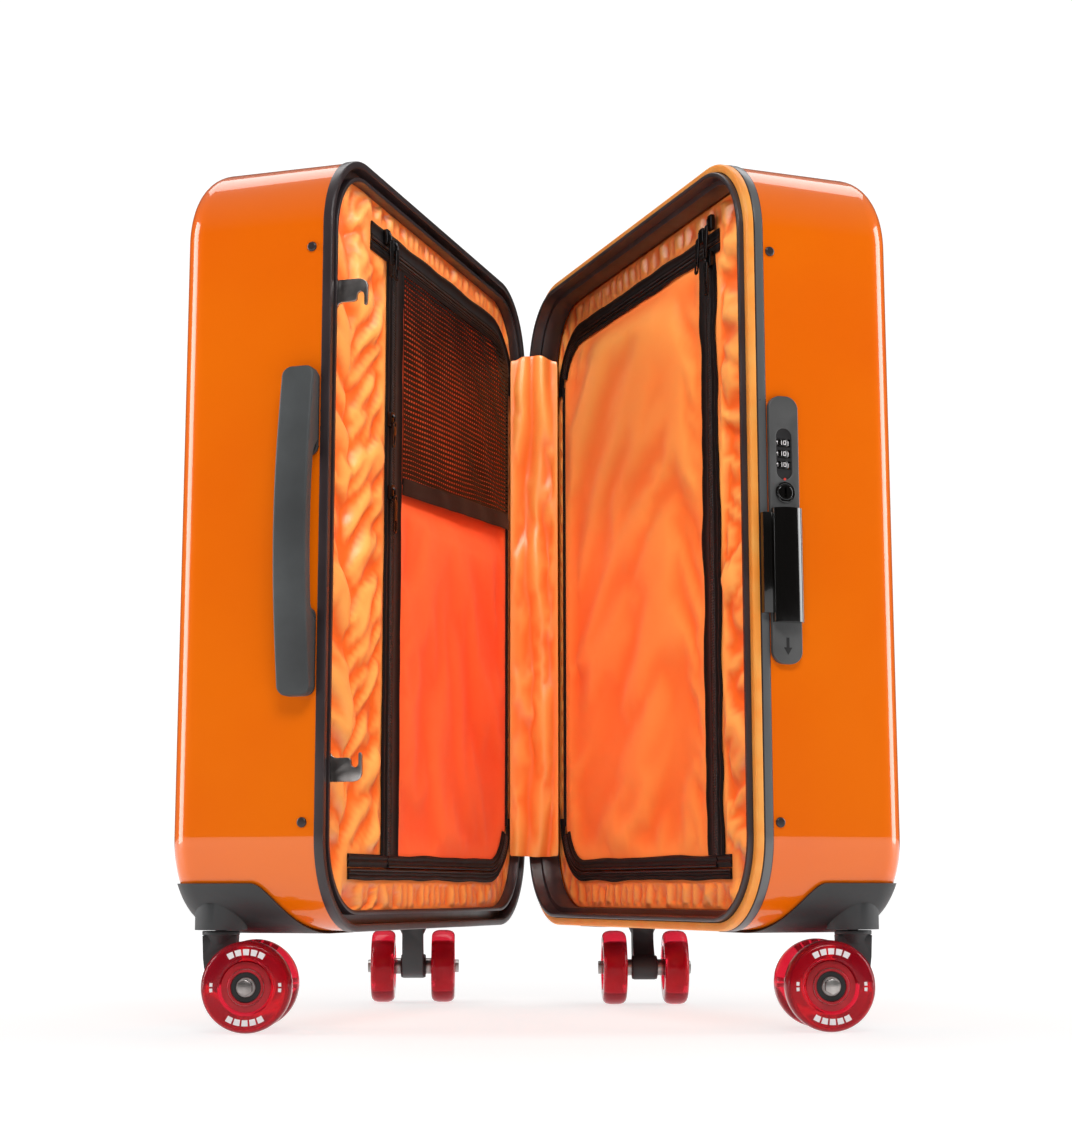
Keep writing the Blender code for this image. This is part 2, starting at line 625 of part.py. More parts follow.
# ---------------------------------------------------------------- lock and latches
def make_lock():
    wall = CASE_WIDTH
    across = (LOCK_V - 0.0053, LOCK_V + 0.0053)
    window = rounded_rectangle(across, (DIAL_MIDDLE - 0.0160, DIAL_MIDDLE + 0.0160), 0.0052, 4)
    keyhole = rounded_rectangle(across, (KEY_Z - 0.0053, KEY_Z + 0.0053), 0.0052, 5)
    slot = rounded_rectangle((0.0145, 0.0185), (0.2600, 0.2840), 0.0010, 2)
    outline = rounded_rectangle(LOCK_PLATE_V, LOCK_PLATE_Z, 0.0080, 5)
    face = (GAP + LOCK_PLATE_FACE) / 2
    lock_plate = plate([outline, window, keyhole, slot], "VZ", wall + face, LOCK_PLATE_FACE - GAP)
    RIGHT.add("lock_plate", lock_plate, "lock_grey")

    for i, label in enumerate(("upper", "middle", "lower")):
        place = (wall + 0.0002, LOCK_V, DIAL_MIDDLE + (1 - i) * DIAL_PITCH)
        turn = RIGHT.joint(f"dial_{label}_axis", place)
        dial = cylinder(place, (0, 0, 1), DIAL_RADIUS, 0.0045, 20)
        RIGHT.add(f"lock_dial_{label}", dial, "black_gloss", turn, place)

    place = (wall, LOCK_V, KEY_Z)
    turn = RIGHT.joint("key_axis", place)
    barrel = cylinder((wall + 0.0010, LOCK_V, KEY_Z), (1, 0, 0), 0.0050, 0.0076, 20)
    cut(barrel, box((wall + 0.0030, wall + 0.0060), (LOCK_V - 0.0006, LOCK_V + 0.0006),
                    (KEY_Z - 0.0030, KEY_Z + 0.0030)))
    RIGHT.add("lock_key_cylinder", barrel, "black_gloss", turn, place)

    place = (wall, LOCK_V, SLIDER_Z[1])
    path = RIGHT.joint("lock_slider_path", place)
    base = wall + LOCK_PLATE_FACE + GAP
    hood = [(LOCK_V - 0.0100, base), (LOCK_V - 0.0100, base + 0.0015)]
    for i in range(1, 8):
        angle = math.radians(180 - 180 * i / 8)
        hood.append((LOCK_V + 0.0100 * math.cos(angle), base + 0.0015 + 0.0065 * math.sin(angle)))
    hood += [(LOCK_V + 0.0100, base + 0.0015), (LOCK_V + 0.0100, base)]
    outline = [(u, v) for v, u in hood]
    slider = plate([outline], "UV", sum(SLIDER_Z) / 2, SLIDER_Z[1] - SLIDER_Z[0])
    wing = box((wall + BAND_PROUD + GAP, base + 0.0013), (0.0053, LOCK_V - 0.0092),
               (SLIDER_Z[0] + 0.0055, SLIDER_Z[1] - 0.0025))
    cut(wing, box((wall, base), (0.0112, 0.0150), (0.200, 0.400)))
    tang = box((wall - 0.0056, base + 0.0013), (0.0150, 0.0180), (0.2720, 0.2820))
    join(slider, as_mesh(wing), tang)
    RIGHT.add("lock_slider", slider, "black_gloss", path, place)


def make_latches():
    """Two latch bars in the right rim, and the two hooks on the left rim that they hold."""
    for label, sign in (("upper", 1), ("lower", -1)):
        def level(z):
            return z if sign > 0 else 2 * MIDDLE - z

        ends = sorted((level(0.3180), level(0.4535)))
        bar = box((CASE_WIDTH - 0.0086, CASE_WIDTH - 0.0060), (0.0118, 0.0178), ends)
        pin_u = (CASE_WIDTH - 0.0154, CASE_WIDTH - 0.0080)
        pin_centre = (sum(pin_u) / 2, LATCH_V, level(LATCH_PIN_Z))
        pin = cylinder(pin_centre, (1, 0, 0), 0.0019, pin_u[1] - pin_u[0], 12)
        join(bar, pin)
        place = (CASE_WIDTH - 0.0073, LATCH_V, level(LATCH_PIN_Z))
        path = RIGHT.joint(f"latch_bar_{label}_path", place)
        RIGHT.add(f"latch_bar_{label}", bar, "steel", path, place)

        claw = [(7.9, 443.0), (7.9, 460.5), (-16.0, 460.5), (-18.6, 458.0), (-18.6, 444.5), (-17.8, 443.0),
                (-16.4, 443.0), (-16.4, 450.8), (-15.0, 452.2), (-13.0, 452.2), (-11.6, 450.8),
                (-11.6, 447.5), (-9.0, 446.0), (-1.0, 446.0), (1.5, 443.0)]
        outline = [(v * MM, level(z * MM)) for v, z in claw]
        hook = plate([outline], "VZ", CASE_WIDTH - 0.0136, 0.0020)
        LEFT.add(f"latch_hook_{label}", hook, "steel")


# ---------------------------------------------------------------- side handle
def make_side_handle():
    wall = CASE_WIDTH
    v_middle = sum(HANDLE_V) / 2
    inner, outer = [], []
    steps = 14
    for i in range(steps + 1):
        along = -1 + 2 * i / steps
        rise = HANDLE_RISE * math.cos(math.pi * along / 2)
        z = HANDLE_MIDDLE + HANDLE_HALF * along
        flat = 0.0 if abs(along) < 0.5 else 1.0
        inner.append((wall + 0.0036 + rise * (1 - flat), z))
        outer.append((wall + 0.0120 + rise, z))
    outline = inner + list(reversed(outer))
    bar = plate([[(u, z) for u, z in outline]], "UZ", v_middle, HANDLE_V[1] - HANDLE_V[0])
    bevel = bar.modifiers.new("Bevel", "BEVEL")
    bevel.width = 0.0016
    bevel.segments = 2
    bevel.limit_method = "ANGLE"
    bevel.angle_limit = math.radians(50)
    bar = as_mesh(bar)
    posts = [HANDLE_MIDDLE - HANDLE_POST_Z, HANDLE_MIDDLE + HANDLE_POST_Z]
    for z in posts:
        join(bar, cylinder((wall + 0.0002, HANDLE_POST_V, z), (1, 0, 0), 0.0030, 0.0096, 12))
    LEFT.add("side_handle", bar, "black_plastic")

    for label, sign in (("upper", 1), ("lower", -1)):
        z = sorted((HANDLE_MIDDLE + sign * 0.0465, HANDLE_MIDDLE + sign * (HANDLE_HALF - 0.0005)))
        pad = plate([rounded_rectangle((0.0066, 0.0262), z, 0.0060, 4)], "VZ", wall + 0.0018, 0.0030)
        hole_z = HANDLE_MIDDLE + sign * HANDLE_POST_Z
        cut(pad, cylinder((wall, HANDLE_POST_V, hole_z), (1, 0, 0), 0.0034, 0.020, 16))
        LEFT.add(f"side_handle_pad_{label}", pad, "black_plastic")


# ---------------------------------------------------------------- telescopic handle
def make_trolley():
    top = TOTAL_HEIGHT - 0.0002
    rim_outline = rounded_rectangle((0.0965, 0.2895), (0.0585, 0.0860), 0.0040, 3)
    rim = plate([rim_outline], "UV", top - 0.0003, 0.0006)
    tray = box((0.0990, 0.2870), (0.0610, 0.0850), (CUP_FLOOR, top - 0.0001))
    cup = join(rim, tray)
    cut(cup, box((0.1005, 0.2855), (0.0625, 0.0835), (CUP_FLOOR + 0.0015, 0.560)))
    for u in TUBE_U:
        cut(cup, box((u - 0.0084, u + 0.0084), (TROLLEY_V - 0.0054, TROLLEY_V + 0.0054), (0.500, 0.530)))
    LEFT.add("trolley_cup", cup, "black_plastic")

    def tube(u, width, depth, wall, low, high):
        outside = box((u - width, u + width), (TROLLEY_V - depth, TROLLEY_V + depth), (low, high))
        width, depth, low, high = width - wall, depth - wall, low - 0.01, high + 0.01
        inside = box((u - width, u + width), (TROLLEY_V - depth, TROLLEY_V + depth), (low, high))
        return cut(outside, inside)

    for end, u in zip(("rear", "front"), TUBE_U):
        outer = tube(u, 0.0095, 0.0065, 0.0010, 0.0850, CUP_FLOOR - GAP)
        LEFT.add(f"trolley_outer_tube_{end}", outer, "aluminium")

    place = (sum(TUBE_U) / 2, TROLLEY_V, CUP_FLOOR)
    path = LEFT.joint("trolley_path", place)
    for end, u in zip(("rear", "front"), TUBE_U):
        inner = tube(u, 0.0080, 0.0050, 0.0010, 0.0950, 0.5277)
        LEFT.add(f"trolley_inner_tube_{end}", inner, "aluminium", path, place)

    grip = box(TROLLEY_U, (TROLLEY_V - 0.0080, TROLLEY_V + 0.0080), (0.5280, 0.5485), bevel=0.0035)
    middle = sum(TROLLEY_U) / 2
    recess_v = (TROLLEY_V - 0.0045, TROLLEY_V + 0.0045)
    cut(grip, box((middle - 0.0125, middle + 0.0125), recess_v, (0.5430, 0.5600)))
    LEFT.add("trolley_grip", grip, "black_plastic", path, place)

    button_place = (middle, TROLLEY_V, 0.5490)
    press = LEFT.joint("trolley_button_press", button_place, parent=path, parent_origin=place)
    button = box((middle - 0.0120, middle + 0.0120), (TROLLEY_V - 0.0040, TROLLEY_V + 0.0040),
                 (0.5462, 0.5492), bevel=0.0006, segments=1)
    LEFT.add("trolley_button", button, "black_gloss", press, button_place)


make_shells()
make_linings()
make_rims()
make_fabric()
make_zip_sliders()
make_spine_hinges()
make_bumpers()
make_casters()
make_lock()
make_latches()
make_side_handle()
make_trolley()
bpy.context.view_layer.update()
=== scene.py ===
"""Looks of the open cabin suitcase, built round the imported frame.

Case coordinates, as in the CAD: u from the spine wall to the lock wall, v from the closing plane out to the
large face, z above the floor. HALVES holds the matrix that carries them to the row frame.
"""

import json
import math

import bmesh
import bpy
import numpy as np
from mathutils import Matrix, Vector, noise
from mathutils.kdtree import KDTree

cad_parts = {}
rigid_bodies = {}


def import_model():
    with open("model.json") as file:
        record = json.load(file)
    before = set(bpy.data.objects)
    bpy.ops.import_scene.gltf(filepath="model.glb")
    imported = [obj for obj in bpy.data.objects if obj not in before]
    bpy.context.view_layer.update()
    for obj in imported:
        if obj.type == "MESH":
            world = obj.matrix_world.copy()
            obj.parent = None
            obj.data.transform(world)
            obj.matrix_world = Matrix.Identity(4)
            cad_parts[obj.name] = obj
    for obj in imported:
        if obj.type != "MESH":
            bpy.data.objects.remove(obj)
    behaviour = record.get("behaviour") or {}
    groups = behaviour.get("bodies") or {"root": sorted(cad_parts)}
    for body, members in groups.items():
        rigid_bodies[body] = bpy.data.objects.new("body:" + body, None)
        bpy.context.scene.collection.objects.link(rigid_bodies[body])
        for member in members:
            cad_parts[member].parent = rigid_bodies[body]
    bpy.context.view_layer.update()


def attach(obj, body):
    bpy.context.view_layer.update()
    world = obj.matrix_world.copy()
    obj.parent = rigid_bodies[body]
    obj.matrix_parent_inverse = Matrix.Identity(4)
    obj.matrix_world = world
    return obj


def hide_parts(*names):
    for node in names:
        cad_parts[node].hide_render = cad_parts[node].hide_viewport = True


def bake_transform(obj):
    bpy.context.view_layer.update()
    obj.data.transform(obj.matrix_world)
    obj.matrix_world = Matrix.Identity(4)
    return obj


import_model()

# ---------------------------------------------------------------- dimensions shared with the CAD
CASE_WIDTH, HALF_DEPTH = 0.387, 0.105
SHELL_BOTTOM, SHELL_TOP, TOTAL_HEIGHT = 0.06, 0.5492, 0.55
MIDDLE = (SHELL_BOTTOM + SHELL_TOP) / 2
CORNER_RADIUS, EDGE_RADIUS, SHELL_WALL = 0.057, 0.018, 0.0025
HALF_OPEN, HINGE_OFFSET, HINGE_Y = math.radians(19.1), 0.006, 0.1755
LEFT_FLAP_U, RIGHT_FLAP_U, FLAP_Z = (0.022, 0.266), (0.024, 0.293), (0.0985, 0.509)
COVER_INSET = 0.0128
CASTER_INSET, CASTER_V, CASTER_TRAIL = 0.03, 0.08, 0.019
WHEEL_RADIUS, WHEEL_WIDTH, WHEEL_SPACING = 0.0275, 0.0175, 0.0457
AXLE_HEIGHT = WHEEL_RADIUS * math.cos(math.pi / 24)
HANDLE_MIDDLE, HANDLE_HALF = 0.3, 0.101
LOCK_V, DIAL_MIDDLE, DIAL_PITCH, DIAL_RADIUS, KEY_Z = 0.0215, 0.3492, 0.0069, 0.0042, 0.325
SLIDER_Z = (0.2445, 0.3145)
LATCH_PIN_Z = 0.4495

# ---------------------------------------------------------------- dimensions of the cloth
FLAPS = {"left": LEFT_FLAP_U, "right": RIGHT_FLAP_U}
FLAP_CLOTH = {"left": ("satin_deep", "red_orange_cloth"), "right": ("satin_smooth", "orange_satin")}
FRONTS = {"left": 0.0087, "right": 0.0202}  # v of the flaps and borders
SPINE_RADIUS = 0.04
BELOW_NET = 0.335  # the left flap lies deeper above this height, behind its pocket
HEM_BOTTOM, HEM_START = 0.361, 0.0225  # the pocket hem at its spine end


def half_matrix(side):
    """Case coordinates to the row frame: side is -1 for the left half and 1 for the right."""
    sine, cosine = math.sin(HALF_OPEN), math.cos(HALF_OPEN)
    u_axis, v_axis = (side * sine, -cosine, 0), (side * cosine, sine, 0)
    columns = Matrix((u_axis, v_axis, (0, 0, 1))).transposed().to_4x4()
    return Matrix.Translation((0, HINGE_Y, 0)) @ columns @ Matrix.Translation((HINGE_OFFSET, 0, 0))


HALVES = {"left": half_matrix(-1), "right": half_matrix(1)}
BODIES = {"left": "left_half", "right": "right_half"}


# ---------------------------------------------------------------- materials
def srgb(code):
    """A linear colour from a six-digit hex code."""
    parts = [int(code[i:i + 2], 16) / 255 for i in (0, 2, 4)]
    return tuple(c / 12.92 if c <= 0.04045 else ((c + 0.055) / 1.055) ** 2.4 for c in parts) + (1.0,)


class Look:
    """A Principled material with helpers for procedural detail."""

    def __init__(self, name, colour, roughness, metallic=0.0, **sockets):
        self.material = bpy.data.materials.new(name)
        self.material.use_nodes = True
        self.tree = self.material.node_tree
        self.shader = self.tree.nodes["Principled BSDF"]
        self.set("Base Color", srgb(colour))
        self.set("Roughness", roughness)
        self.set("Metallic", metallic)
        for socket, value in sockets.items():
            self.set(socket.replace("_", " "), value)
        self.normal = None

    def set(self, socket, value):
        self.shader.inputs[socket].default_value = value

    def node(self, kind, **values):
        made = self.tree.nodes.new(kind)
        for key, value in values.items():
            if key in made.inputs:
                made.inputs[key].default_value = value
            else:
                setattr(made, key, value)
        return made

    def link(self, source, target):
        self.tree.links.new(source, target)

    def coordinates(self, uv, stretch=(1, 1, 1)):
        source = self.node("ShaderNodeTexCoord").outputs["UV" if uv else "Object"]
        mapping = self.node("ShaderNodeMapping", Scale=stretch)
        self.link(source, mapping.inputs["Vector"])
        return mapping.outputs["Vector"]

    def noise(self, scale, detail=3.0, stretch=(1, 1, 1), uv=False):
        made = self.node("ShaderNodeTexNoise", Scale=scale, Detail=detail)
        self.link(self.coordinates(uv, stretch), made.inputs["Vector"])
        return made.outputs["Fac"]

    def threads(self, scale, direction):
        """Even stripes across the cloth's own map."""
        made = self.node("ShaderNodeTexWave", Scale=scale, bands_direction=direction)
        self.link(self.coordinates(True), made.inputs["Vector"])
        return made.outputs["Fac"]

    def span(self, source, low, high, start=0.0, stop=1.0):
        made = self.node("ShaderNodeMapRange")
        for key, value in zip(("From Min", "From Max", "To Min", "To Max"), (start, stop, low, high)):
            made.inputs[key].default_value = value
        self.link(source, made.inputs["Value"])
        return made.outputs["Result"]

    def vary_roughness(self, source, low, high):
        self.link(self.span(source, low, high), self.shader.inputs["Roughness"])

    def vary_colour(self, source, first, second, start=0.3, stop=0.7):
        ramp = self.node("ShaderNodeValToRGB")
        for stop_point, place, colour in zip(ramp.color_ramp.elements, (start, stop), (first, second)):
            stop_point.position = place
            stop_point.color = srgb(colour)
        self.link(source, ramp.inputs["Fac"])
        self.link(ramp.outputs["Color"], self.shader.inputs["Base Color"])

    def bump(self, source, distance, strength):
        made = self.node("ShaderNodeBump", Distance=distance, Strength=strength)
        self.link(source, made.inputs["Height"])
        if self.normal:
            self.link(self.normal, made.inputs["Normal"])
        self.normal = made.outputs["Normal"]
        self.link(self.normal, self.shader.inputs["Normal"])


# For each look: material name, colour, roughness, metallic and other sockets; then the noise that varies its
# colour (scale, detail, first, second), its roughness (scale, detail, low, high, stretch) and its height
# (scale, detail, distance, strength, stretch).
SOLID_LOOKS = {
    "shell": (("shell_gloss_orange", "f56f00", 0.32, 0.0,
               dict(Specular_IOR_Level=0.08, Coat_Weight=0.9, Coat_Roughness=0.04, Coat_IOR=1.65)),
              (9.0, 2.0, "f36a00", "f77300"), (40.0, 4.0, 0.26, 0.36), (700.0, 2.0, 0.00003, 0.25)),
    "rim": (("rim_extrusion", "33292b", 0.34, 0.0, dict(Specular_IOR_Level=0.6)),
            (30.0, 3.0, "2c2325", "3b3133"), (120.0, 3.0, 0.26, 0.4, (1, 1, 0.1)),
            (1500.0, 2.0, 0.00003, 0.3, (1, 1, 0.05))),
    "grey": (("band_grey", "6f7071", 0.3, 0.35, dict(Specular_IOR_Level=0.6)),
             None, (90.0, 3.0, 0.24, 0.36), (1500.0, 2.0, 0.00003, 0.3)),
    # The strip's orange is lighter than the shell's own: painted light, making up for the shade the strip
    # lies in.
    "strip": (("rim_strip_lit_orange", "ffa343", 0.42, 0.0, {}),
              (60.0, 2.0, "ff9a38", "ffae50"), None, (2200.0, 2.0, 0.00003, 0.3)),
    "plastic": (("moulded_dark_grey", "333435", 0.48, 0.0, {}),
                (14.0, 3.0, "2e2f30", "393a3b"), (220.0, 4.0, 0.42, 0.58), (1900.0, 3.0, 0.0001, 0.45)),
    "handle": (("handle_soft_grey", "3f4243", 0.52, 0.0, dict(Sheen_Weight=0.05)),
               (22.0, 4.0, "363839", "474a4b"), (260.0, 4.0, 0.44, 0.6), (1400.0, 3.0, 0.0001, 0.5)),
    "plate": (("lock_plate_grey", "535353", 0.42, 0.0, {}),
              (40.0, 3.0, "464646", "565656"), (300.0, 3.0, 0.36, 0.5), (2400.0, 2.0, 0.00005, 0.4)),
    "gloss": (("polished_black", "0b0908", 0.1, 0.0, dict(Coat_Weight=0.5, Coat_Roughness=0.03)),
              None, (160.0, 3.0, 0.07, 0.16), None),
    "steel": (("plated_steel", "b4aeab", 0.3, 1.0, {}),
              (90.0, 5.0, "8d8684", "c9c4c1"), (300.0, 4.0, 0.22, 0.42, (1, 1, 6)),
              (900.0, 3.0, 0.00005, 0.4)),
    "tube": (("anodised_tube", "c4c4c6", 0.34, 1.0, dict(Anisotropic=0.5)),
             None, (900.0, 2.0, 0.26, 0.42, (1, 1, 0.02)), None),
    "wheel": (("urethane_red", "f42c46", 0.12, 0.0,
               dict(Transmission_Weight=0.8, IOR=1.3, Subsurface_Weight=0.2, Subsurface_Scale=0.006,
                    Subsurface_Radius=(1.0, 0.12, 0.12))),
              (60.0, 2.0, "f01c38", "f83850"), (350.0, 3.0, 0.09, 0.18), None),
    "core": (("wheel_core_red", "b00a1a", 0.35, 0.0, {}), (80.0, 2.0, "9d0614", "c21024"), None, None),
    "dark": (("dark_seal", "1d1b1c", 0.45, 0.0, {}), None, (400.0, 2.0, 0.38, 0.55), None),
    "white": (("printed_white", "f3eeee", 0.45, 0.0, {}), None, (500.0, 2.0, 0.4, 0.55), None),
    "red": (("marker_red", "e2453a", 0.35, 0.0, {}), None, (500.0, 2.0, 0.3, 0.42), None),
    "mesh": (("mesh_thread", "0b0302", 0.6, 0.0, dict(Specular_IOR_Level=0.3)),
             (300.0, 2.0, "080202", "120604"), None, None),
    "coil": (("zip_coil", "1b1414", 0.32, 0.0, {}), None, (300.0, 2.0, 0.26, 0.42), None),
    "pull": (("zip_pull_black", "191516", 0.22, 0.6, {}), None, (500.0, 3.0, 0.16, 0.32), None),
}


def solid_look(facts, colour, roughness, height):
    name, base, rough, metallic, sockets = facts
    look = Look(name, base, rough, metallic, **sockets)
    if colour:
        look.vary_colour(look.noise(*colour[:2]), *colour[2:])
    if roughness:
        look.vary_roughness(look.noise(*roughness[:2], *roughness[4:]), *roughness[2:4])
    if height:
        look.bump(look.noise(*height[:2], *height[4:]), *height[2:4])
    return look


def cloth_look(name, first, second, roughness, gloss, shade_folds=True, specular=0.5):
    """Woven cloth: a fine plain weave in the height, faint noise in the colour, and a satin gloss.

    When asked, it also takes its colour from the ridges that mark_ridges stores on a sheet: a painted
    highlight on the ridges and painted shade in the hollows.
    """
    warm_tint = (1.0, 0.86, 0.62, 1.0)
    look = Look(name, first, roughness, Sheen_Weight=0.04, Coat_Weight=gloss, Coat_Roughness=0.34,
                Specular_IOR_Level=specular, Coat_Tint=warm_tint if gloss > 0.5 else (1, 1, 1, 1))
    if shade_folds:
        # painted light: the colour runs from the first, painted shade in the hollows, to the second, painted
        # highlight on the ridges, with a little random tone from noise
        tone_and_fold_light = look.node("ShaderNodeMath", operation="MULTIPLY_ADD")
        tone_and_fold_light.inputs[1].default_value = 0.2
        look.link(look.noise(26.0, uv=True), tone_and_fold_light.inputs[0])
        ridge = look.node("ShaderNodeAttribute", attribute_name="ridge")
        look.link(ridge.outputs["Fac"], tone_and_fold_light.inputs[2])
        look.vary_colour(tone_and_fold_light.outputs["Value"], first, second, 0.2, 1.15)
    else:
        look.vary_colour(look.noise(18.0, uv=True), first, second)
    look.vary_roughness(look.noise(130.0, 4.0, uv=True), roughness - 0.05, roughness + 0.08)
    for direction in ("X", "Y"):
        look.bump(look.threads(420.0, direction), 0.00004, 0.35)
    look.bump(look.noise(90.0, uv=True), 0.0003, 0.25)
    return look


def make_looks():
    looks = {key: solid_look(*rows) for key, rows in SOLID_LOOKS.items()}
    looks["coil"].bump(looks["coil"].threads(110.0, "Y"), 0.0003, 0.8)
    # In the folded satins the second colour is the painted highlight on the fold ridges and the first the
    # painted shade in their hollows.
    looks["satin"] = cloth_look("satin_orange", "f06c22", "ffb463", 0.38, 0.65)
    looks["satin_smooth"] = cloth_look("satin_flap", "f46f26", "ffb05e", 0.36, 0.65)
    looks["satin_deep"] = cloth_look("cloth_red_orange", "f6501a", "ff6f34", 0.5, 0.12)
    looks["lining"] = cloth_look("lining_orange", "f57a22", "fb8a33", 0.42, 0.4, shade_folds=False)
    looks["tape"] = cloth_look("zip_tape", "0b0606", "140d0d", 0.6, 0.0, shade_folds=False, specular=0.2)
    return {key: look.material for key, look in looks.items()}


LOOKS = make_looks()


# ---------------------------------------------------------------- mesh helpers
def link(name, data):
    made = bpy.data.objects.new(name, data)
    bpy.context.scene.collection.objects.link(made)
    return made


def loose(bm, name="shape"):
    mesh = bpy.data.meshes.new(name)
    bm.to_mesh(mesh)
    bm.free()
    return link(name, mesh)


def copied(source):
    return link("copy", source.data.copy())


def baked(source):
    """A new mesh object of the evaluated shape of source, which is removed."""
    bpy.context.view_layer.update()
    graph = bpy.context.evaluated_depsgraph_get()
    mesh = bpy.data.meshes.new_from_object(source.evaluated_get(graph))
    mesh.transform(source.matrix_world)
    bpy.data.objects.remove(source, do_unlink=True)
    bm = bmesh.new()
    bm.from_mesh(mesh)
    bmesh.ops.remove_doubles(bm, verts=bm.verts, dist=0.000004)
    bmesh.ops.dissolve_degenerate(bm, edges=bm.edges, dist=0.000001)
    bmesh.ops.recalc_face_normals(bm, faces=bm.faces)
    bm.to_mesh(mesh)
    bm.free()
    return link("baked", mesh)


def combine(target, others, operation):
    for other in others:
        boolean = target.modifiers.new("Boolean", "BOOLEAN")
        boolean.operation, boolean.solver, boolean.object = operation, "EXACT", other
    made = baked(target)
    for other in others:
        bpy.data.objects.remove(other, do_unlink=True)
    return made


def cut(target, *others):
    return combine(target, others, "DIFFERENCE")


def join(target, *others):
    return combine(target, others, "UNION")


def keep(target, *others):
    return combine(target, others, "INTERSECT")


def merged(*sources):
    """One object from several that don't touch."""
    bm = bmesh.new()
    for source in sources:
        solid = baked(source)
        bm.from_mesh(solid.data)
        bpy.data.objects.remove(solid, do_unlink=True)
    return loose(bm)


def mirrored(source, axis, middle):
    made = baked(source)
    for vert in made.data.vertices:
        vert.co[axis] = 2 * middle - vert.co[axis]
    made.data.flip_normals()
    return made


def bevel(source, width, segments=2, angle=35):
    made = source.modifiers.new("Bevel", "BEVEL")
    made.width, made.segments, made.limit_method = width, segments, "ANGLE"
    made.angle_limit = math.radians(angle)
    return source


def finish_piece(source, name, look, matrix, body, replaces=(), slot=None, angle=35):
    """Bakes a shape, carries it by matrix to the row frame, shades it and rides it on a body."""
    made = baked(source)
    made.data.transform(matrix)
    if matrix.determinant() < 0:
        made.data.flip_normals()
    made.name = made.data.name = name
    made.data.materials.clear()
    made.data.materials.append(LOOKS[look])
    made.data.polygons.foreach_set("use_smooth", [True] * len(made.data.polygons))
    made.data.set_sharp_from_angle(angle=math.radians(angle))
    if body:
        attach(made, body)
    if replaces:
        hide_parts(*replaces)
    return made


def case_piece(source, half, name, look, body=None, **facts):
    return finish_piece(source, name, look, HALVES[half], body or BODIES[half], **facts)


def node_piece(source, half, node, part, look, slot, body=None, angle=35):
    """A case piece that stands in for one CAD node and is named after it."""
    return case_piece(source, half, f"{node}_{part}", look, body, replaces=[node], slot=slot, angle=angle)


def box_mesh(u, v, z):
    bm = bmesh.new()
    bmesh.ops.create_cube(bm, size=1.0)
    low, high = Vector((u[0], v[0], z[0])), Vector((u[1], v[1], z[1]))
    bmesh.ops.scale(bm, vec=high - low, verts=bm.verts)
    bmesh.ops.translate(bm, vec=(low + high) / 2, verts=bm.verts)
    return bm


def box(u, v, z):
    return loose(box_mesh(u, v, z))


def about(middle, reach):
    """Limits on both sides of a middle."""
    return middle - reach, middle + reach


def cylinder(centre, axis, radius, length, sides=48, end_radius=None):
    bm = bmesh.new()
    far = radius if end_radius is None else end_radius
    bmesh.ops.create_cone(bm, cap_ends=True, segments=sides, radius1=radius, radius2=far, depth=length)
    turn = Vector((0, 0, 1)).rotation_difference(Vector(axis)).to_matrix().to_4x4()
    bmesh.ops.transform(bm, matrix=Matrix.Translation(centre) @ turn, verts=bm.verts)
    return loose(bm)


def ring_points(x, y, radius, corner_steps=16, side_steps=1):
    """Points of a rectangle with round corners, anticlockwise from the far high corner.

    The radius is one number or four, one for each corner. Each side is cut into side_steps.
    """
    radii = radius if isinstance(radius, tuple) else (radius,) * 4
    arcs = []
    for (far, high, start), r in zip(((1, 1, 0), (0, 1, 90), (0, 0, 180), (1, 0, 270)), radii):
        centre_x = x[1] - r if far else x[0] + r
        centre_y = y[1] - r if high else y[0] + r
        angles = [math.radians(start + 90 * i / corner_steps) for i in range(corner_steps + 1)]
        arcs.append([(centre_x + r * math.cos(a), centre_y + r * math.sin(a)) for a in angles])
    points = []
    for arc, after in zip(arcs, arcs[1:] + arcs[:1]):
        points += arc
        (x0, y0), (x1, y1) = arc[-1], after[0]
        points += [(x0 + (x1 - x0) * i / side_steps, y0 + (y1 - y0) * i / side_steps)
                   for i in range(1, side_steps)]
    return points


def spline_into(curve, points, cyclic=True):
    spline = curve.splines.new("POLY")
    spline.points.add(len(points) - 1)
    for point, place in zip(spline.points, points):
        point.co = (*place, 0, 1)[:4] if len(place) == 2 else (*place, 1)
    spline.use_cyclic_u = cyclic


PLANES = {"UZ": Matrix(((1, 0, 0), (0, 0, -1), (0, 1, 0))).to_4x4(),
          "VZ": Matrix(((0, 0, 1), (1, 0, 0), (0, 1, 0))).to_4x4(), "UV": Matrix.Identity(4)}
ACROSS = {"UZ": Vector((0, 1, 0)), "VZ": Vector((1, 0, 0)), "UV": Vector((0, 0, 1))}


def plate(loops, plane, offset, thickness, rounding=0.0, steps=2):
    """A flat outline, with holes if it has more than one loop, centred on offset across its plane."""
    curve = bpy.data.curves.new("outline", "CURVE")
    curve.dimensions, curve.fill_mode = "2D", "BOTH"
    curve.extrude = thickness / 2 - rounding
    curve.bevel_depth, curve.bevel_resolution, curve.offset = rounding, steps, -rounding
    for points in loops:
        spline_into(curve, points)
    made = link("plate", curve)
    made.matrix_world = Matrix.Translation(ACROSS[plane] * offset) @ PLANES[plane]
    return baked(made)


def round_plate(x, y, radius, corner_steps, plane, offset, thickness, rounding=0.0, steps=2):
    """A plate whose outline is a rectangle with round corners."""
    return plate([ring_points(x, y, radius, corner_steps)], plane, offset, thickness, rounding, steps)


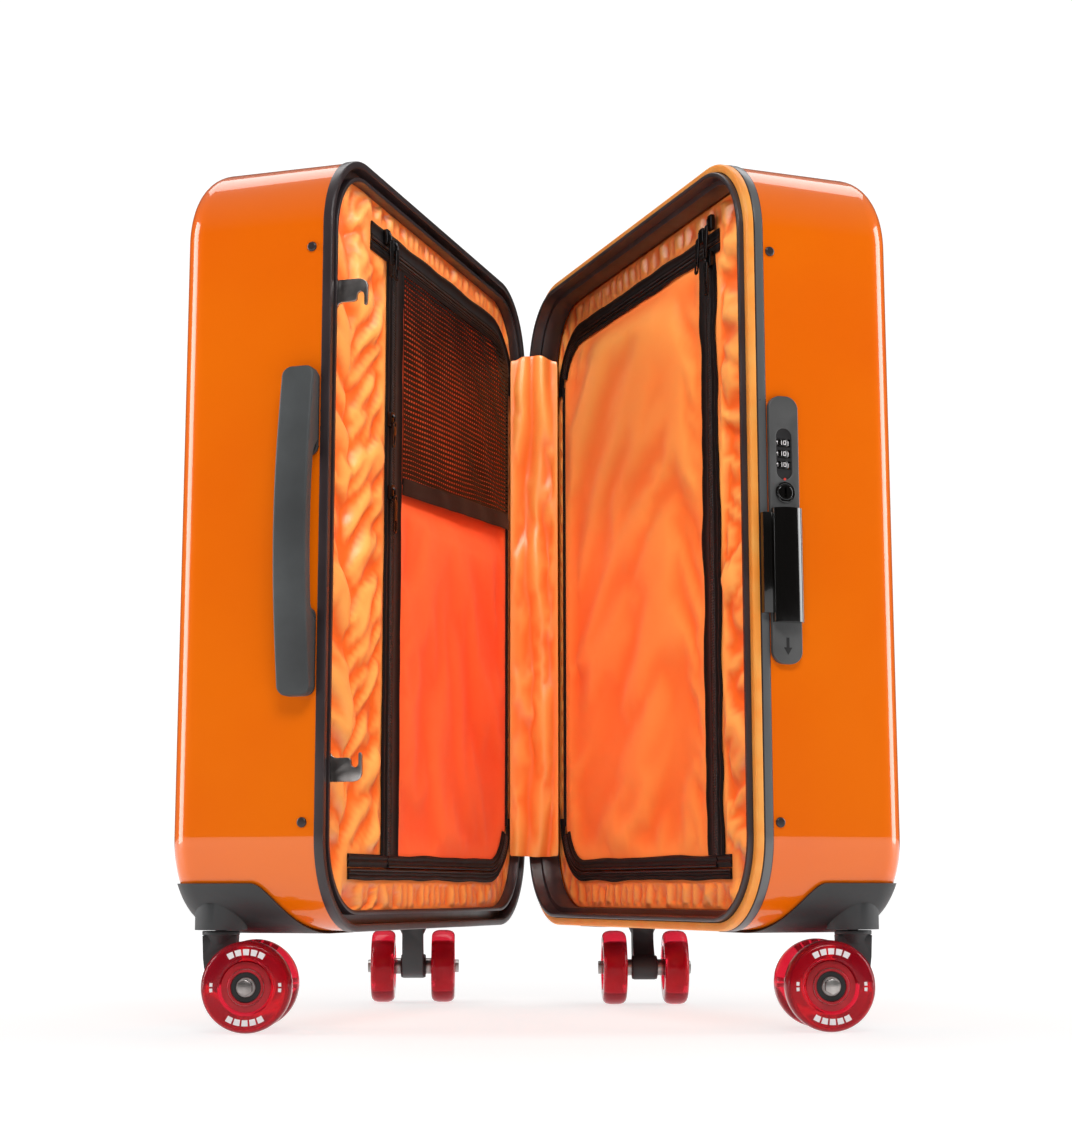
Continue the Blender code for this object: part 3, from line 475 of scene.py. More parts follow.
def stitch(bm, rows, closed=False):
    """Quads between rows of vertices, each a loop. The last row meets the first, or both ends are capped."""
    for a, b in zip(rows, rows[1:] + rows[:1] if closed else rows[1:]):
        for j in range(len(a)):
            k = (j + 1) % len(a)
            bm.faces.new((a[j], a[k], b[k], b[j]))
    if not closed:
        bm.faces.new(rows[0])
        bm.faces.new(rows[-1])


def faced(bm):
    """An object from a closed mesh, with its faces turned outward."""
    bmesh.ops.recalc_face_normals(bm, faces=bm.faces)
    return loose(bm)


def turned(profile, sides=96):
    """A closed profile of (radius, y) points turned round the Y axis."""
    bm = bmesh.new()
    rows = []
    for i in range(sides):
        angle = 2 * math.pi * i / sides
        rows.append([bm.verts.new((r * math.cos(angle), y, r * math.sin(angle))) for r, y in profile])
    stitch(bm, rows, closed=True)
    return faced(bm)


def rounded_profile(points, radius):
    """A closed profile with its corners rounded, where its sides leave room."""
    out = []
    count = len(points)
    for i, point in enumerate(points):
        here = Vector(point)
        before, after = Vector(points[i - 1]) - here, Vector(points[(i + 1) % count]) - here
        reach = min(radius, before.length * 0.4, after.length * 0.4)
        start, stop = here + before.normalized() * reach, here + after.normalized() * reach
        out += [tuple(start * (1 - t) ** 2 + here * 2 * t * (1 - t) + stop * t ** 2) for t in (0.0, 0.5, 1.0)]
    return out


def swept_ring(profile):
    """A rim profile of (s, v) points in millimetres, swept round the outline of the case."""
    points = [(s * 0.001, v * 0.001) for s, v in rounded_profile(profile, 0.35)]
    outline = ring_points((0, CASE_WIDTH), (SHELL_BOTTOM, SHELL_TOP), CORNER_RADIUS, 24, 4)
    bm = bmesh.new()
    rows = []
    for i, (u, z) in enumerate(outline):
        before, after = Vector(outline[i - 1]), Vector(outline[(i + 1) % len(outline)])
        along = (after - before).normalized()
        inward = Vector((-along.y, along.x))
        rows.append([bm.verts.new((u + inward.x * s, v, z + inward.y * s)) for s, v in points])
    stitch(bm, rows, closed=True)
    return faced(bm)


def case_body(start, grow=0.0, closed=True):
    """The outer form of a half from v = start outward, with its mouth left open if not closed."""
    far = HALF_DEPTH + grow
    bm = box_mesh((-grow, CASE_WIDTH + grow), (start, far), (SHELL_BOTTOM - grow, SHELL_TOP + grow))
    along_v = [e for e in bm.edges if abs(e.verts[0].co.y - e.verts[1].co.y) > 0.001]
    bmesh.ops.bevel(bm, geom=along_v, offset=CORNER_RADIUS + grow, segments=28, profile=0.5, affect="EDGES")
    outer = [e for e in bm.edges if all(abs(p.co.y - far) < 1e-6 for p in e.verts)]
    bmesh.ops.bevel(bm, geom=outer, offset=EDGE_RADIUS + grow, segments=12, profile=0.5, affect="EDGES")
    if not closed:
        mouth = [f for f in bm.faces if all(abs(p.co.y - start) < 1e-6 for p in f.verts)]
        bmesh.ops.delete(bm, geom=mouth, context="FACES")
    return loose(bm)


def tub(start, grow, wall):
    """The open shell of a half, with its wall inside the surface of case_body."""
    surface = case_body(start, grow, closed=False)
    solidify = surface.modifiers.new("Solidify", "SOLIDIFY")
    solidify.thickness, solidify.offset, solidify.use_even_offset = wall, -1, True
    return baked(surface)


def smooth(t):
    t = min(1.0, max(0.0, t))
    return t * t * (3 - 2 * t)


# ---------------------------------------------------------------- shells, rims, bumpers
def make_shells():
    cup_hole = box((0.0987, 0.2883), (0.0607, 0.0853), (0.53, 0.56))
    lock_hole = box(about(CASE_WIDTH, 0.006), (0.0143, 0.0285), (0.256, 0.372))
    for half, start, hole in (("left", 0.0062, cup_hole), ("right", 0.0114, lock_hole)):
        shell = cut(tub(start, 0.0, SHELL_WALL), hole)
        node_piece(shell, half, f"{half}_shell", "skin", "shell", "orange_shell")
    rivets = (("left", "upper", 0.0135, 0.4795), ("left", "lower", 0.014, 0.1244),
              ("right", "upper", 0.0158, 0.4786), ("right", "lower", 0.0159, 0.1244))
    for half, label, v, z in rivets:
        rivet = cylinder((CASE_WIDTH + 0.0008, v, z), (1, 0, 0), 0.0033, 0.0014, 40, 0.0027)
        case_piece(bevel(rivet, 0.0006, 4), half, f"rivet_{half}_{label}", "rim", slot="black_rim")


# Rim profiles: (distance in from the outline, v) in millimetres.
LEFT_RIM = [(-0.8, 1.0), (-0.6, 0.35), (0.2, 0.15), (3.2, 0.15), (3.9, 0.5), (3.9, 8.8), (9.7, 8.8),
            (9.7, 1.2), (12.2, 1.2), (12.2, 10.3), (4.2, 10.3), (4.2, 14.0), (2.8, 14.0), (2.8, 6.0),
            (-0.8, 6.0)]
RIGHT_RIM = [(-0.8, 5.2), (4.9, 5.2), (4.9, -2.4), (5.5, -3.0), (7.6, -3.0), (8.2, -2.4), (8.2, 5.2),
             (12.0, 5.2), (12.0, 19.0), (11.0, 19.0), (11.0, 11.3), (4.2, 11.3), (4.2, 13.5), (2.8, 13.5),
             (2.8, 11.2), (-0.8, 11.2)]
RIGHT_BAND = [(-0.85, 5.6), (0.0, 5.3), (0.6, 5.6), (0.6, 10.9), (0.0, 11.1), (-0.85, 10.8)]
RIM_STRIP = [(-0.7, 1.1), (-0.3, 0.4), (0.4, 0.15), (4.4, 0.15), (4.4, 4.9), (-0.7, 4.9)]


def make_rims():
    case_piece(swept_ring(LEFT_RIM), "left", "left_rim", "rim", replaces=["left_rim_frame"], slot="black_rim",
               angle=50)
    right = swept_ring(RIGHT_RIM)
    slot_u = (CASE_WIDTH - 0.0125, CASE_WIDTH - 0.0105)
    for z in (LATCH_PIN_Z - 0.005, 2 * MIDDLE - LATCH_PIN_Z + 0.005):
        right = cut(right, box(slot_u, (0.0116, 0.0165), (z - 0.008, z + 0.008)))
    case_piece(right, "right", "right_rim", "rim", replaces=["right_rim_frame"], slot="black_rim", angle=50)
    case_piece(swept_ring(RIGHT_BAND), "right", "right_rim_band", "grey", slot="black_rim", angle=50)
    node_piece(swept_ring(RIM_STRIP), "right", "right_rim_strip", "soft", "strip", "orange_strip", angle=50)


def s_curve(start, stop, low, high, steps=24):
    """Points of a smooth rise from low at start to high at stop."""
    return [(start + (stop - start) * i / steps, low + (high - low) * (1 - math.cos(math.pi * i / steps)) / 2)
            for i in range(steps + 1)]


def bumper_shape():
    """The guard over a lower corner, between two s-curved outlines, with the collar of its caster."""
    low, foot, side_top, front_top = SHELL_BOTTOM - 0.01, SHELL_BOTTOM - 0.002, 0.0886, 0.0886 + 0.0013
    past_v, past_u = HALF_DEPTH + 0.01, CASE_WIDTH + 0.01
    side = [(0.018, low)] + s_curve(0.018, 0.05, foot, side_top) + [(past_v, side_top), (past_v, low)]
    far, full = CASE_WIDTH - 0.098, CASE_WIDTH - 0.0615
    front = [(far, low)] + s_curve(far, full, foot, front_top) + [(past_u, front_top), (past_u, low)]
    region = keep(plate([side], "VZ", CASE_WIDTH - 0.05, 0.14), plate([front], "UZ", 0.06, 0.12))
    centre = (CASE_WIDTH - CASTER_INSET, CASTER_V, 0.0686)
    collar = cylinder(centre, (0, 0, 1), 0.016, 0.016, 56)
    skin = join(case_body(0.004, 0.0018), collar)
    skin = cut(skin, case_body(0.002, 0.0003))
    skin = cut(skin, cylinder(centre, (0, 0, 1), 0.004, 0.03, 32))
    return bevel(keep(skin, region), 0.0005, 2, 40)


def make_bumpers():
    front = baked(bumper_shape())
    rear = mirrored(copied(front), 0, CASE_WIDTH / 2)
    for half in HALVES:
        for end, source in (("front", front), ("rear", rear)):
            node_piece(copied(source), half, f"bumper_{half}_{end}", "guard", "plastic", "black_plastic",
                       angle=40)
    for source in (front, rear):
        bpy.data.objects.remove(source, do_unlink=True)


# ---------------------------------------------------------------- casters
def fork_shape():
    """The caster's leg with its hub, neck, cap and swivel pin."""
    trail, axle, hub_radius = CASTER_TRAIL, AXLE_HEIGHT, 0.0091
    outline = [(-0.0104, 0.0572), (-0.0098, 0.044), (-0.009, 0.038), (-0.0066, 0.031), (-0.0026, 0.025),
               (0.003, 0.0212), (0.01, 0.0195)]
    outline += [(trail + hub_radius * math.cos(a), axle + hub_radius * math.sin(a))
                for a in map(math.radians, range(-110, 100, 15))]
    outline += [(0.0158, 0.04), (0.012, 0.044), (0.01, 0.048), (0.0104, 0.0572)]
    body = bevel(plate([outline], "UZ", 0.0, 0.0156), 0.0022, 4, 30)
    hub = bevel(cylinder((trail, 0, axle), (0, 1, 0), 0.0088, 0.0188), 0.0008, 2)
    neck = cylinder((0, 0, 0.055), (0, 0, 1), 0.0084, 0.006, 48, 0.0112)
    cap = bevel(cylinder((0, 0, 0.0587), (0, 0, 1), 0.0114, 0.0026), 0.0005, 2)
    pin = cylinder((0, 0, 0.062), (0, 0, 1), 0.0034, 0.0056, 24)
    return join(baked(body), baked(hub), neck, baked(cap), pin)


def axle_shape():
    """The axle rod with its spacers and lock nuts."""
    trail, axle = CASTER_TRAIL, AXLE_HEIGHT
    parts = [cylinder((trail, 0, axle), (0, 1, 0), 0.0039, 0.069, 32)]
    for side in (-1, 1):
        parts.append(bevel(cylinder((trail, side * 0.0121, axle), (0, 1, 0), 0.006, 0.0066, 36), 0.0005))
        nut = cylinder((trail, side * 0.0325, axle), (0, 1, 0), 0.0049, 0.0046, 6)
        parts.append(bevel(nut, 0.0004, 2))
        parts.append(cylinder((trail, side * 0.03045, axle), (0, 1, 0), 0.0054, 0.0007, 36))
    return merged(*parts)


def tyre_shape():
    half, r = WHEEL_WIDTH / 2, AXLE_HEIGHT - 0.00005  # just clear of the floor
    side = [(0.0118, 0.0046), (0.0149, 0.0046), (0.0153, 0.0052), (0.0158, half - 0.0006), (0.0166, half),
            (0.0236, half), (0.025, half - 0.0006), (0.0264, half - 0.0022), (r - 0.0002, half - 0.0045),
            (r, half - 0.006)]
    return turned(side + [(radius, -y) for radius, y in reversed(side)])


def hub_shape():
    side = [(0.0088, 0.0062), (0.0092, 0.0074), (0.0104, 0.0074), (0.0112, 0.0058), (0.0148, 0.0056),
            (0.0148, 0.004)]
    return turned(side + [(radius, -y) for radius, y in reversed(side)], 72)


def bearing_shapes():
    """Steel rings and dark seals of the two bearings."""
    rings, seals = [], []
    for side in (-1, 1):
        for inner, outer, face in ((0.0093, 0.011, 0.0069), (0.0043, 0.0058, 0.007)):
            loop = [(inner, 0.003), (outer, 0.003), (outer, face - 0.0003), (outer - 0.0003, face),
                    (inner + 0.0003, face), (inner, face - 0.0003)]
            rings.append(turned([(radius, side * y) for radius, y in loop], 64))
        loop = [(0.0058, 0.0032), (0.0093, 0.0032), (0.0093, 0.0063), (0.0058, 0.0063)]
        seals.append(turned([(radius, side * y) for radius, y in loop], 64))
    return merged(*rings), merged(*seals)


def print_shape():
    """Plain raised arcs and short dashes on the wheel's outer face."""
    arc, dash = (5, 10, 13, 0.019, 0.0226), (2, 6, 9, 0.0196, 0.0214)
    bars = []
    for middle, (count, width, step, inner, outer) in ((90, arc), (270, arc), (0, dash), (180, dash)):
        for i in range(count):
            centre = middle + (i - (count - 1) / 2) * step
            angles = [math.radians(centre + width * (k / 6 - 0.5)) for k in range(7)]
            outline = [(outer * math.cos(a), outer * math.sin(a)) for a in angles]
            outline += [(inner * math.cos(a), inner * math.sin(a)) for a in reversed(angles)]
            bars.append(plate([outline], "UZ", -WHEEL_WIDTH / 2 - 0.00002, 0.00012))
    return merged(*bars)


def make_casters():
    fork, axle = fork_shape(), axle_shape()
    rings, seals = bearing_shapes()
    yoke_parts = (("yoke", fork, "plastic", "black_plastic", 40), ("axle", axle, "steel", "steel", 30))
    wheel_parts = (("tyre", tyre_shape(), "wheel", "red_wheel"), ("core", hub_shape(), "core", "red_wheel"),
                   ("races", rings, "steel", "steel"), ("seals", seals, "dark", None),
                   ("print", print_shape(), "white", None))
    near_lock, near_spine = CASE_WIDTH - CASTER_INSET, CASTER_INSET
    places = [("left", "front", near_lock, 0), ("left", "rear", near_spine, 90),
              ("right", "front", near_lock, 180), ("right", "rear", near_spine, -90)]
    for half, end, u, trail_degrees in places:
        label = f"caster_{half}_{end}"
        swivel = HALVES[half] @ Vector((u, CASTER_V, 0))
        matrix = Matrix.Translation(swivel) @ Matrix.Rotation(math.radians(trail_degrees), 4, "Z")
        for part, shape, look, slot, angle in yoke_parts:
            finish_piece(copied(shape), f"{label}_{part}", look, matrix, label,
                         replaces=[label + "_fork"], slot=slot, angle=angle)
        for side, name in ((-1, "near"), (1, "far")):
            node = f"{label}_wheel_{name}"
            turn = Matrix.Rotation(math.pi if side > 0 else 0, 4, "Z")
            place = matrix @ Matrix.Translation((CASTER_TRAIL, side * WHEEL_SPACING / 2, AXLE_HEIGHT)) @ turn
            for part, shape, look, slot in wheel_parts:
                finish_piece(copied(shape), f"{node}_{part}", look, place, node,
                             replaces=[node], slot=slot, angle=30)
    for row in yoke_parts + wheel_parts:
        bpy.data.objects.remove(row[1], do_unlink=True)


# ---------------------------------------------------------------- handles and lock
def make_side_handle():
    wall, steps = CASE_WIDTH, 40
    inner, outer = [], []
    for i in range(steps + 1):
        along = -1 + 2 * i / steps
        rise = 0.0095 * math.cos(math.pi * along / 2)
        z = HANDLE_MIDDLE + HANDLE_HALF * along
        inner.append((wall + 0.0036 + rise * smooth((0.56 - abs(along)) / 0.1), z))
        outer.append((wall + 0.012 + rise, z))
    grip = plate([inner + outer[::-1]], "UZ", 0.01635, 0.0213)
    grip = keep(grip, round_plate((0.0057, 0.027), (0.199, 0.401), 0.0062, 12, "VZ", wall, 0.06))
    node_piece(bevel(grip, 0.0014, 3, 40), "left", "side_handle", "grip", "handle", "black_plastic", angle=40)
    for label, sign in (("upper", 1), ("lower", -1)):
        z = sorted((HANDLE_MIDDLE + sign * 0.0465, HANDLE_MIDDLE + sign * (HANDLE_HALF - 0.0005)))
        pad = round_plate((0.0066, 0.0262), z, 0.006, 10, "VZ", wall + 0.0018, 0.003, 0.0006)
        node_piece(pad, "left", f"side_handle_pad_{label}", "base", "plastic", "black_plastic")


SEGMENTS = {"0": "abcdef", "1": "bc", "9": "abcdfg", "2": "abged"}


def digit_bars(character, width, height, thick):
    """Bars of a plain seven-segment figure, as (x limits, y limits) pairs."""
    x, y, t = width / 2, height / 2, thick
    shapes = {"a": ((-x, x), (y - t, y)), "d": ((-x, x), (-y, -y + t)), "g": ((-x, x), (-t / 2, t / 2)),
              "b": ((x - t, x), (0, y)), "c": ((x - t, x), (-y, 0)), "f": ((-x, -x + t), (0, y)),
              "e": ((-x, -x + t), (-y, 0))}
    return [shapes[s] for s in SEGMENTS[character]]


def make_lock_face():
    wall = CASE_WIDTH
    across = about(LOCK_V, 0.0053)
    window = ring_points(across, about(DIAL_MIDDLE, 0.016), 0.0052, 12)
    keyhole = ring_points(across, about(KEY_Z, 0.0053), 0.0052, 12)
    outline = ring_points((0.0115, 0.0315), (0.2195, 0.3856), 0.008, 14)
    slot = ring_points((0.0145, 0.0185), (0.26, 0.284), 0.001, 3)
    face = plate([outline, window, keyhole, slot], "VZ", wall + 0.00205, 0.0035, 0.0006, 3)
    node_piece(face, "right", "lock_plate", "face", "plate", "lock_grey")
    holes = [ring_points(about(LOCK_V, 0.0045), about(DIAL_MIDDLE + k * DIAL_PITCH, 0.0025), 0.0004, 3)
             for k in (-1, 0, 1)]
    sill = plate([window] + holes, "VZ", wall + 0.0022, 0.002)
    case_piece(sill, "right", "lock_window_sill", "dark", slot="lock_grey")


def make_dial(label, row):
    node, body = f"lock_dial_{label}", f"dial_{label}"
    z = DIAL_MIDDLE + row * DIAL_PITCH
    centre = Vector((CASE_WIDTH + 0.0002, LOCK_V, z))
    rim = []
    for k in range(80):
        angle = 2 * math.pi * k / 80
        radius = DIAL_RADIUS - (0.00022 if k % 8 == 4 else 0.0)
        rim.append((centre.x + radius * math.cos(angle), centre.y + radius * math.sin(angle)))
    wheel = plate([rim], "UV", z, 0.0044, 0.0003)
    node_piece(wheel, "right", node, "wheel", "gloss", "black_gloss", body, angle=50)
    figures = []
    width, height, stroke = 0.0019, 0.0026, 0.00042
    for k in range(10):
        turn = Matrix.Translation(centre) @ Matrix.Rotation(math.radians(36 * k), 4, "Z")
        for y, x in digit_bars("0192"[k % 4], width, height, stroke):
            bar = box((DIAL_RADIUS - 0.0003, DIAL_RADIUS + 0.00006), y, x)
            bar.data.transform(turn)
            figures.append(bar)
    case_piece(merged(*figures), "right", node + "_figures", "white", body, slot="black_gloss")
    dot = cylinder((CASE_WIDTH + 0.00345, LOCK_V - 0.00475, z + 0.0006), (1, 0, 0), 0.00042, 0.0009, 20)
    case_piece(dot, "right", node + "_mark", "white", slot="lock_grey")


def make_key():
    front = (CASE_WIDTH + 0.0042, LOCK_V, KEY_Z)
    ring = cut(cylinder(front, (1, 0, 0), 0.0066, 0.0009, 56), cylinder(front, (1, 0, 0), 0.0052, 0.004, 56))
    case_piece(bevel(ring, 0.0003), "right", "lock_key_ring", "gloss", slot="lock_grey")
    barrel = cylinder((CASE_WIDTH + 0.001, LOCK_V, KEY_Z), (1, 0, 0), 0.005, 0.0076, 56)
    groove = box((CASE_WIDTH + 0.002, CASE_WIDTH + 0.006), about(LOCK_V, 0.0006), about(KEY_Z, 0.003))
    case_piece(cut(baked(bevel(barrel, 0.0006, 3)), groove), "right", "lock_key_barrel", "gloss",
               "key_cylinder", replaces=["lock_key_cylinder"], slot="black_gloss")


def make_lock_marks():
    dot = cylinder((CASE_WIDTH + 0.0038, LOCK_V, KEY_Z + 0.0083), (1, 0, 0), 0.0008, 0.0006, 24)
    case_piece(dot, "right", "lock_red_mark", "red", slot="lock_grey")
    low, wing, stem = 0.225, 0.0028, 0.0009
    neck, end = low + 0.0045, low + 0.0105
    arrow = [(LOCK_V - wing, neck), (LOCK_V, low), (LOCK_V + wing, neck), (LOCK_V + stem, neck),
             (LOCK_V + stem, end), (LOCK_V - stem, end), (LOCK_V - stem, neck)]
    printed = plate([arrow], "VZ", CASE_WIDTH + 0.0038, 0.0004)
    case_piece(printed, "right", "lock_arrow", "dark", slot="lock_grey")


def make_lock_slider():
    base, reach, low, high = CASE_WIDTH + 0.0041, 0.01, *SLIDER_Z
    shoulder = base + 0.0015
    hood = [(base, LOCK_V - reach), (shoulder, LOCK_V - reach)]
    hood += [(shoulder + 0.0065 * math.sin(a), LOCK_V + reach * math.cos(a))
             for a in (math.radians(180 - 180 * i / 32) for i in range(1, 32))]
    hood += [(shoulder, LOCK_V + reach), (base, LOCK_V + reach)]
    slider = bevel(plate([hood], "UV", sum(SLIDER_Z) / 2, high - low), 0.0016, 4, 50)
    wing = box((CASE_WIDTH + 0.0011, base + 0.0013), (0.0053, LOCK_V - 0.0092), (low + 0.0055, high - 0.0025))
    wing = cut(wing, box((CASE_WIDTH, base), (0.0112, 0.015), (0.2, 0.4)))
    tang = box((CASE_WIDTH - 0.0056, base + 0.0013), (0.015, 0.018), (0.272, 0.282))
    slider = join(baked(slider), baked(bevel(wing, 0.0004, 2, 50)), tang)
    node_piece(bevel(slider, 0.0002, 1, 60), "right", "lock_slider", "hood", "gloss", "black_gloss",
               "lock_slider", angle=40)


def make_lock():
    make_lock_face()
    for row, label in zip((1, 0, -1), ("upper", "middle", "lower")):
        make_dial(label, row)
    make_key()
    make_lock_marks()
    make_lock_slider()


def make_latches():
    # the claw's outline in millimetres, as (v, z) of the upper one
    claw = [(7.9, 443.0), (7.9, 460.5), (-12.6, 460.5), (-15.4, 459.9), (-17.4, 458.3), (-18.6, 455.8),
            (-18.6, 444.8), (-18.0, 443.4), (-17.2, 443.0), (-16.4, 443.6), (-16.4, 449.4), (-15.9, 451.2),
            (-14.0, 452.2), (-12.2, 451.2), (-11.6, 449.4), (-11.6, 447.6), (-10.6, 446.4), (-9.0, 446.0),
            (-1.0, 446.0), (0.6, 445.0), (1.8, 443.0)]
    for label in ("upper", "lower"):
        def level(z):
            return z if label == "upper" else 2 * MIDDLE - z

        bar = box((CASE_WIDTH - 0.0086, CASE_WIDTH - 0.006), (0.0118, 0.0178),
                  sorted((level(0.318), level(0.4535))))
        pin = cylinder((CASE_WIDTH - 0.0117, 0.014, level(LATCH_PIN_Z)), (1, 0, 0), 0.0019, 0.0074, 32)
        node = f"latch_bar_{label}"
        node_piece(bevel(join(bar, pin), 0.0003, 2), "right", node, "rod", "steel", "steel", node)
        outline = [(v * 0.001, level(z * 0.001)) for v, z in claw]
        hook = plate([outline], "VZ", CASE_WIDTH - 0.0136, 0.002, 0.0003)
        node_piece(hook, "left", f"latch_hook_{label}", "claw", "steel", "steel")


def make_trolley():
    top, floor, v, tubes = TOTAL_HEIGHT - 0.0002, 0.519, 0.073, {"rear": 0.12, "front": 0.266}
    rim = round_plate((0.0965, 0.2895), (0.0585, 0.086), 0.004, 8, "UV", top - 0.0003, 0.0006)
    tray = round_plate((0.099, 0.287), (0.061, 0.085), 0.003, 8, "UV", (floor + top) / 2, top - floor)
    hollow = round_plate((0.1005, 0.2855), (0.0625, 0.0835), 0.0022, 8, "UV", 0.54, 0.039)
    holes = [box(about(u, 0.0084), about(v, 0.0054), (0.5, 0.53)) for u in tubes.values()]
    cup = cut(join(rim, tray), hollow, *holes)
    node_piece(bevel(cup, 0.0002, 2), "left", "trolley_cup", "well", "plastic", "black_plastic")

    def tube(u, width, depth, low, high):
        loops = [ring_points(about(u, width - wall), about(v, depth - wall), rounding, 6)
                 for wall, rounding in ((0.0, 0.0016), (0.001, 0.0016 - 0.0008))]
        return plate(loops, "UV", (low + high) / 2, high - low)

    for end, u in tubes.items():
        outer, inner = tube(u, 0.0095, 0.0065, 0.085, floor - 0.0003), tube(u, 0.008, 0.005, 0.095, 0.529)
        case_piece(outer, "left", f"trolley_sleeve_{end}", "tube", replaces=[f"trolley_outer_tube_{end}"],
                   slot="aluminium")
        case_piece(inner, "left", f"trolley_leg_{end}", "tube", "trolley",
                   replaces=[f"trolley_inner_tube_{end}"], slot="aluminium")
    grip = round_plate((0.106, 0.28), about(v, 0.008), 0.006, 12, "UV", 0.53825, 0.0205, 0.0034, 5)
    middle = 0.193
    well = round_plate(about(middle, 0.0125), about(v, 0.0045), 0.002, 8, "UV", 0.5515, 0.017)
    node_piece(cut(grip, well), "left", "trolley_grip", "bar", "handle", "black_plastic", "trolley")
    button = round_plate(about(middle, 0.012), about(v, 0.004), 0.0018, 8, "UV", 0.5477, 0.003, 0.0007, 3)
    node_piece(button, "left", "trolley_button", "cap", "gloss", "black_gloss", "trolley_button")


def make_spine_hinges():
    axis, height, face = (-HINGE_OFFSET, 0.0), 0.06, -0.0026
    for level, low in (("upper", 0.41), ("lower", 0.14)):
        middle = low + height / 2
        spans = {"left": ((low, low + 0.015), (low + 0.045, low + height)),
                 "right": ((low + 0.0153, low + 0.0447),)}
        for half, knuckles in spans.items():
            leaf = round_plate((0.0015, 0.024), (low, low + height), 0.003, 8, "VZ", -0.00185, 0.0015)
            for z in knuckles:
                barrel = cylinder((*axis, sum(z) / 2), (0, 0, 1), 0.003, z[1] - z[0], 40)
                leaf = join(leaf, join(barrel, box((axis[0], -0.0011), (0.0002, 0.003), z)))
            leaf = cut(leaf, cylinder((*axis, middle), (0, 0, 1), 0.0016, 0.07, 32))
            screws = [(0.017, low + rise) for rise in (0.01, 0.03, 0.05)]
            sinks = [cylinder((face, v, z), (1, 0, 0), 0.0024, 0.001, 24, 0.0016) for v, z in screws]
            node = f"hinge_leaf_{half}_{level}"
            node_piece(bevel(cut(leaf, *sinks), 0.0002, 2), half, node, "plate", "steel", "steel")
            heads = []
            for v, z in screws:
                head = bevel(cylinder((face, v, z), (1, 0, 0), 0.0021, 0.001, 24), 0.0003, 2)
                heads.append(cut(head, box((-0.0034, face), about(v, 0.0003), about(z, 0.0016))))
            case_piece(merged(*heads), half, node + "_screws", "steel", slot="steel")
        pin = bevel(cylinder((*axis, middle), (0, 0, 1), 0.0013, 0.061, 32), 0.0003, 2)
        node_piece(pin, "left", f"hinge_pin_{level}", "rod", "steel", "steel")


# ---------------------------------------------------------------- cloth
def give_uv(bm, layer, place):
    """Stores the cloth position of each vertex in the UV map, in metres of cloth."""
    for face in bm.faces:
        for loop in face.loops:
            loop[layer].uv = place[loop.vert]


def sheet_grid(rows, uvs):
    """A quad surface from rows of (u, v, z) points, with a UV map in metres of cloth."""
    bm = bmesh.new()
    layer = bm.loops.layers.uv.new("UVMap")
    made = [[bm.verts.new(p) for p in row] for row in rows]
    for a, b in zip(made, made[1:]):
        for i in range(len(a) - 1):
            bm.faces.new((a[i], a[i + 1], b[i + 1], b[i]))
    give_uv(bm, layer, {vert: uv for row, uv_row in zip(made, uvs) for vert, uv in zip(row, uv_row)})
    if rows[0] == rows[-1]:
        bmesh.ops.remove_doubles(bm, verts=bm.verts, dist=1e-7)
    bmesh.ops.recalc_face_normals(bm, faces=bm.faces)
    return loose(bm, "sheet")


def settle(sheet, slack, grow):
    """Lets a sheet that is cut a little too large buckle between its sewn edges, by cloth simulation.

    slack(point) is how far a point may move; it is held where that is nothing.
    """
    frames = 22
    start = [v.co.copy() for v in sheet.data.vertices]
    reach = [slack(co) for co in start]
    sewn = sheet.vertex_groups.new(name="sewn")
    sewn.add([i for i, r in enumerate(reach) if r <= 0], 1.0, "REPLACE")
    cloth = sheet.modifiers.new("Cloth", "CLOTH")
    settings = cloth.settings
    settings.quality, settings.mass = 5, 0.15
    settings.tension_stiffness = settings.compression_stiffness = 18
    settings.shear_stiffness, settings.bending_stiffness = 6, 0.4
    settings.tension_damping = settings.compression_damping = settings.shear_damping = 12
    settings.air_damping = 4
    settings.shrink_min = -grow
    settings.vertex_group_mass = "sewn"
    settings.effector_weights.gravity = 0.0
    cloth.point_cache.frame_start, cloth.point_cache.frame_end = 1, frames
    scene = bpy.context.scene
    for number in range(1, frames + 1):
        scene.frame_set(number)
    graph = bpy.context.evaluated_depsgraph_get()
    result = [v.co.copy() for v in sheet.evaluated_get(graph).data.vertices]
    sheet.modifiers.remove(cloth)
    scene.frame_set(1)
    for vert, before, after, limit in zip(sheet.data.vertices, start, result, reach):
        move = after - before
        if move.length > limit:
            move *= max(0.0, limit) / move.length
        vert.co = before + move


def mark_ridges(sheet, spread, gain):
    """Stores how far each point of a sheet stands out from its surroundings, which the cloth materials turn
    into painted highlight on the ridges and painted shade in the hollows.
    """
    mesh = sheet.data
    height = np.array([-v.co.y for v in mesh.vertices])
    pairs = np.array([edge.vertices[:] for edge in mesh.edges])
    count = np.bincount(pairs.ravel(), minlength=len(height))
    mean = height.copy()
    for _ in range(spread):
        total = np.bincount(pairs[:, 0], mean[pairs[:, 1]], len(height))
        total += np.bincount(pairs[:, 1], mean[pairs[:, 0]], len(height))
        mean = total / count
    ridge = height - mean
    value = 0.5 + 0.5 * np.tanh(gain * ridge / (ridge.std() + 1e-9))
    mesh.attributes.new("ridge", "FLOAT", "POINT").data.foreach_set("value", value.astype(np.float32))


def thicken(sheet, thickness):
    solidify = sheet.modifiers.new("Solidify", "SOLIDIFY")
    solidify.thickness, solidify.offset = thickness, 0
    subdivision = sheet.modifiers.new("Subdivision", "SUBSURF")
    subdivision.levels = subdivision.render_levels = 1
    return sheet


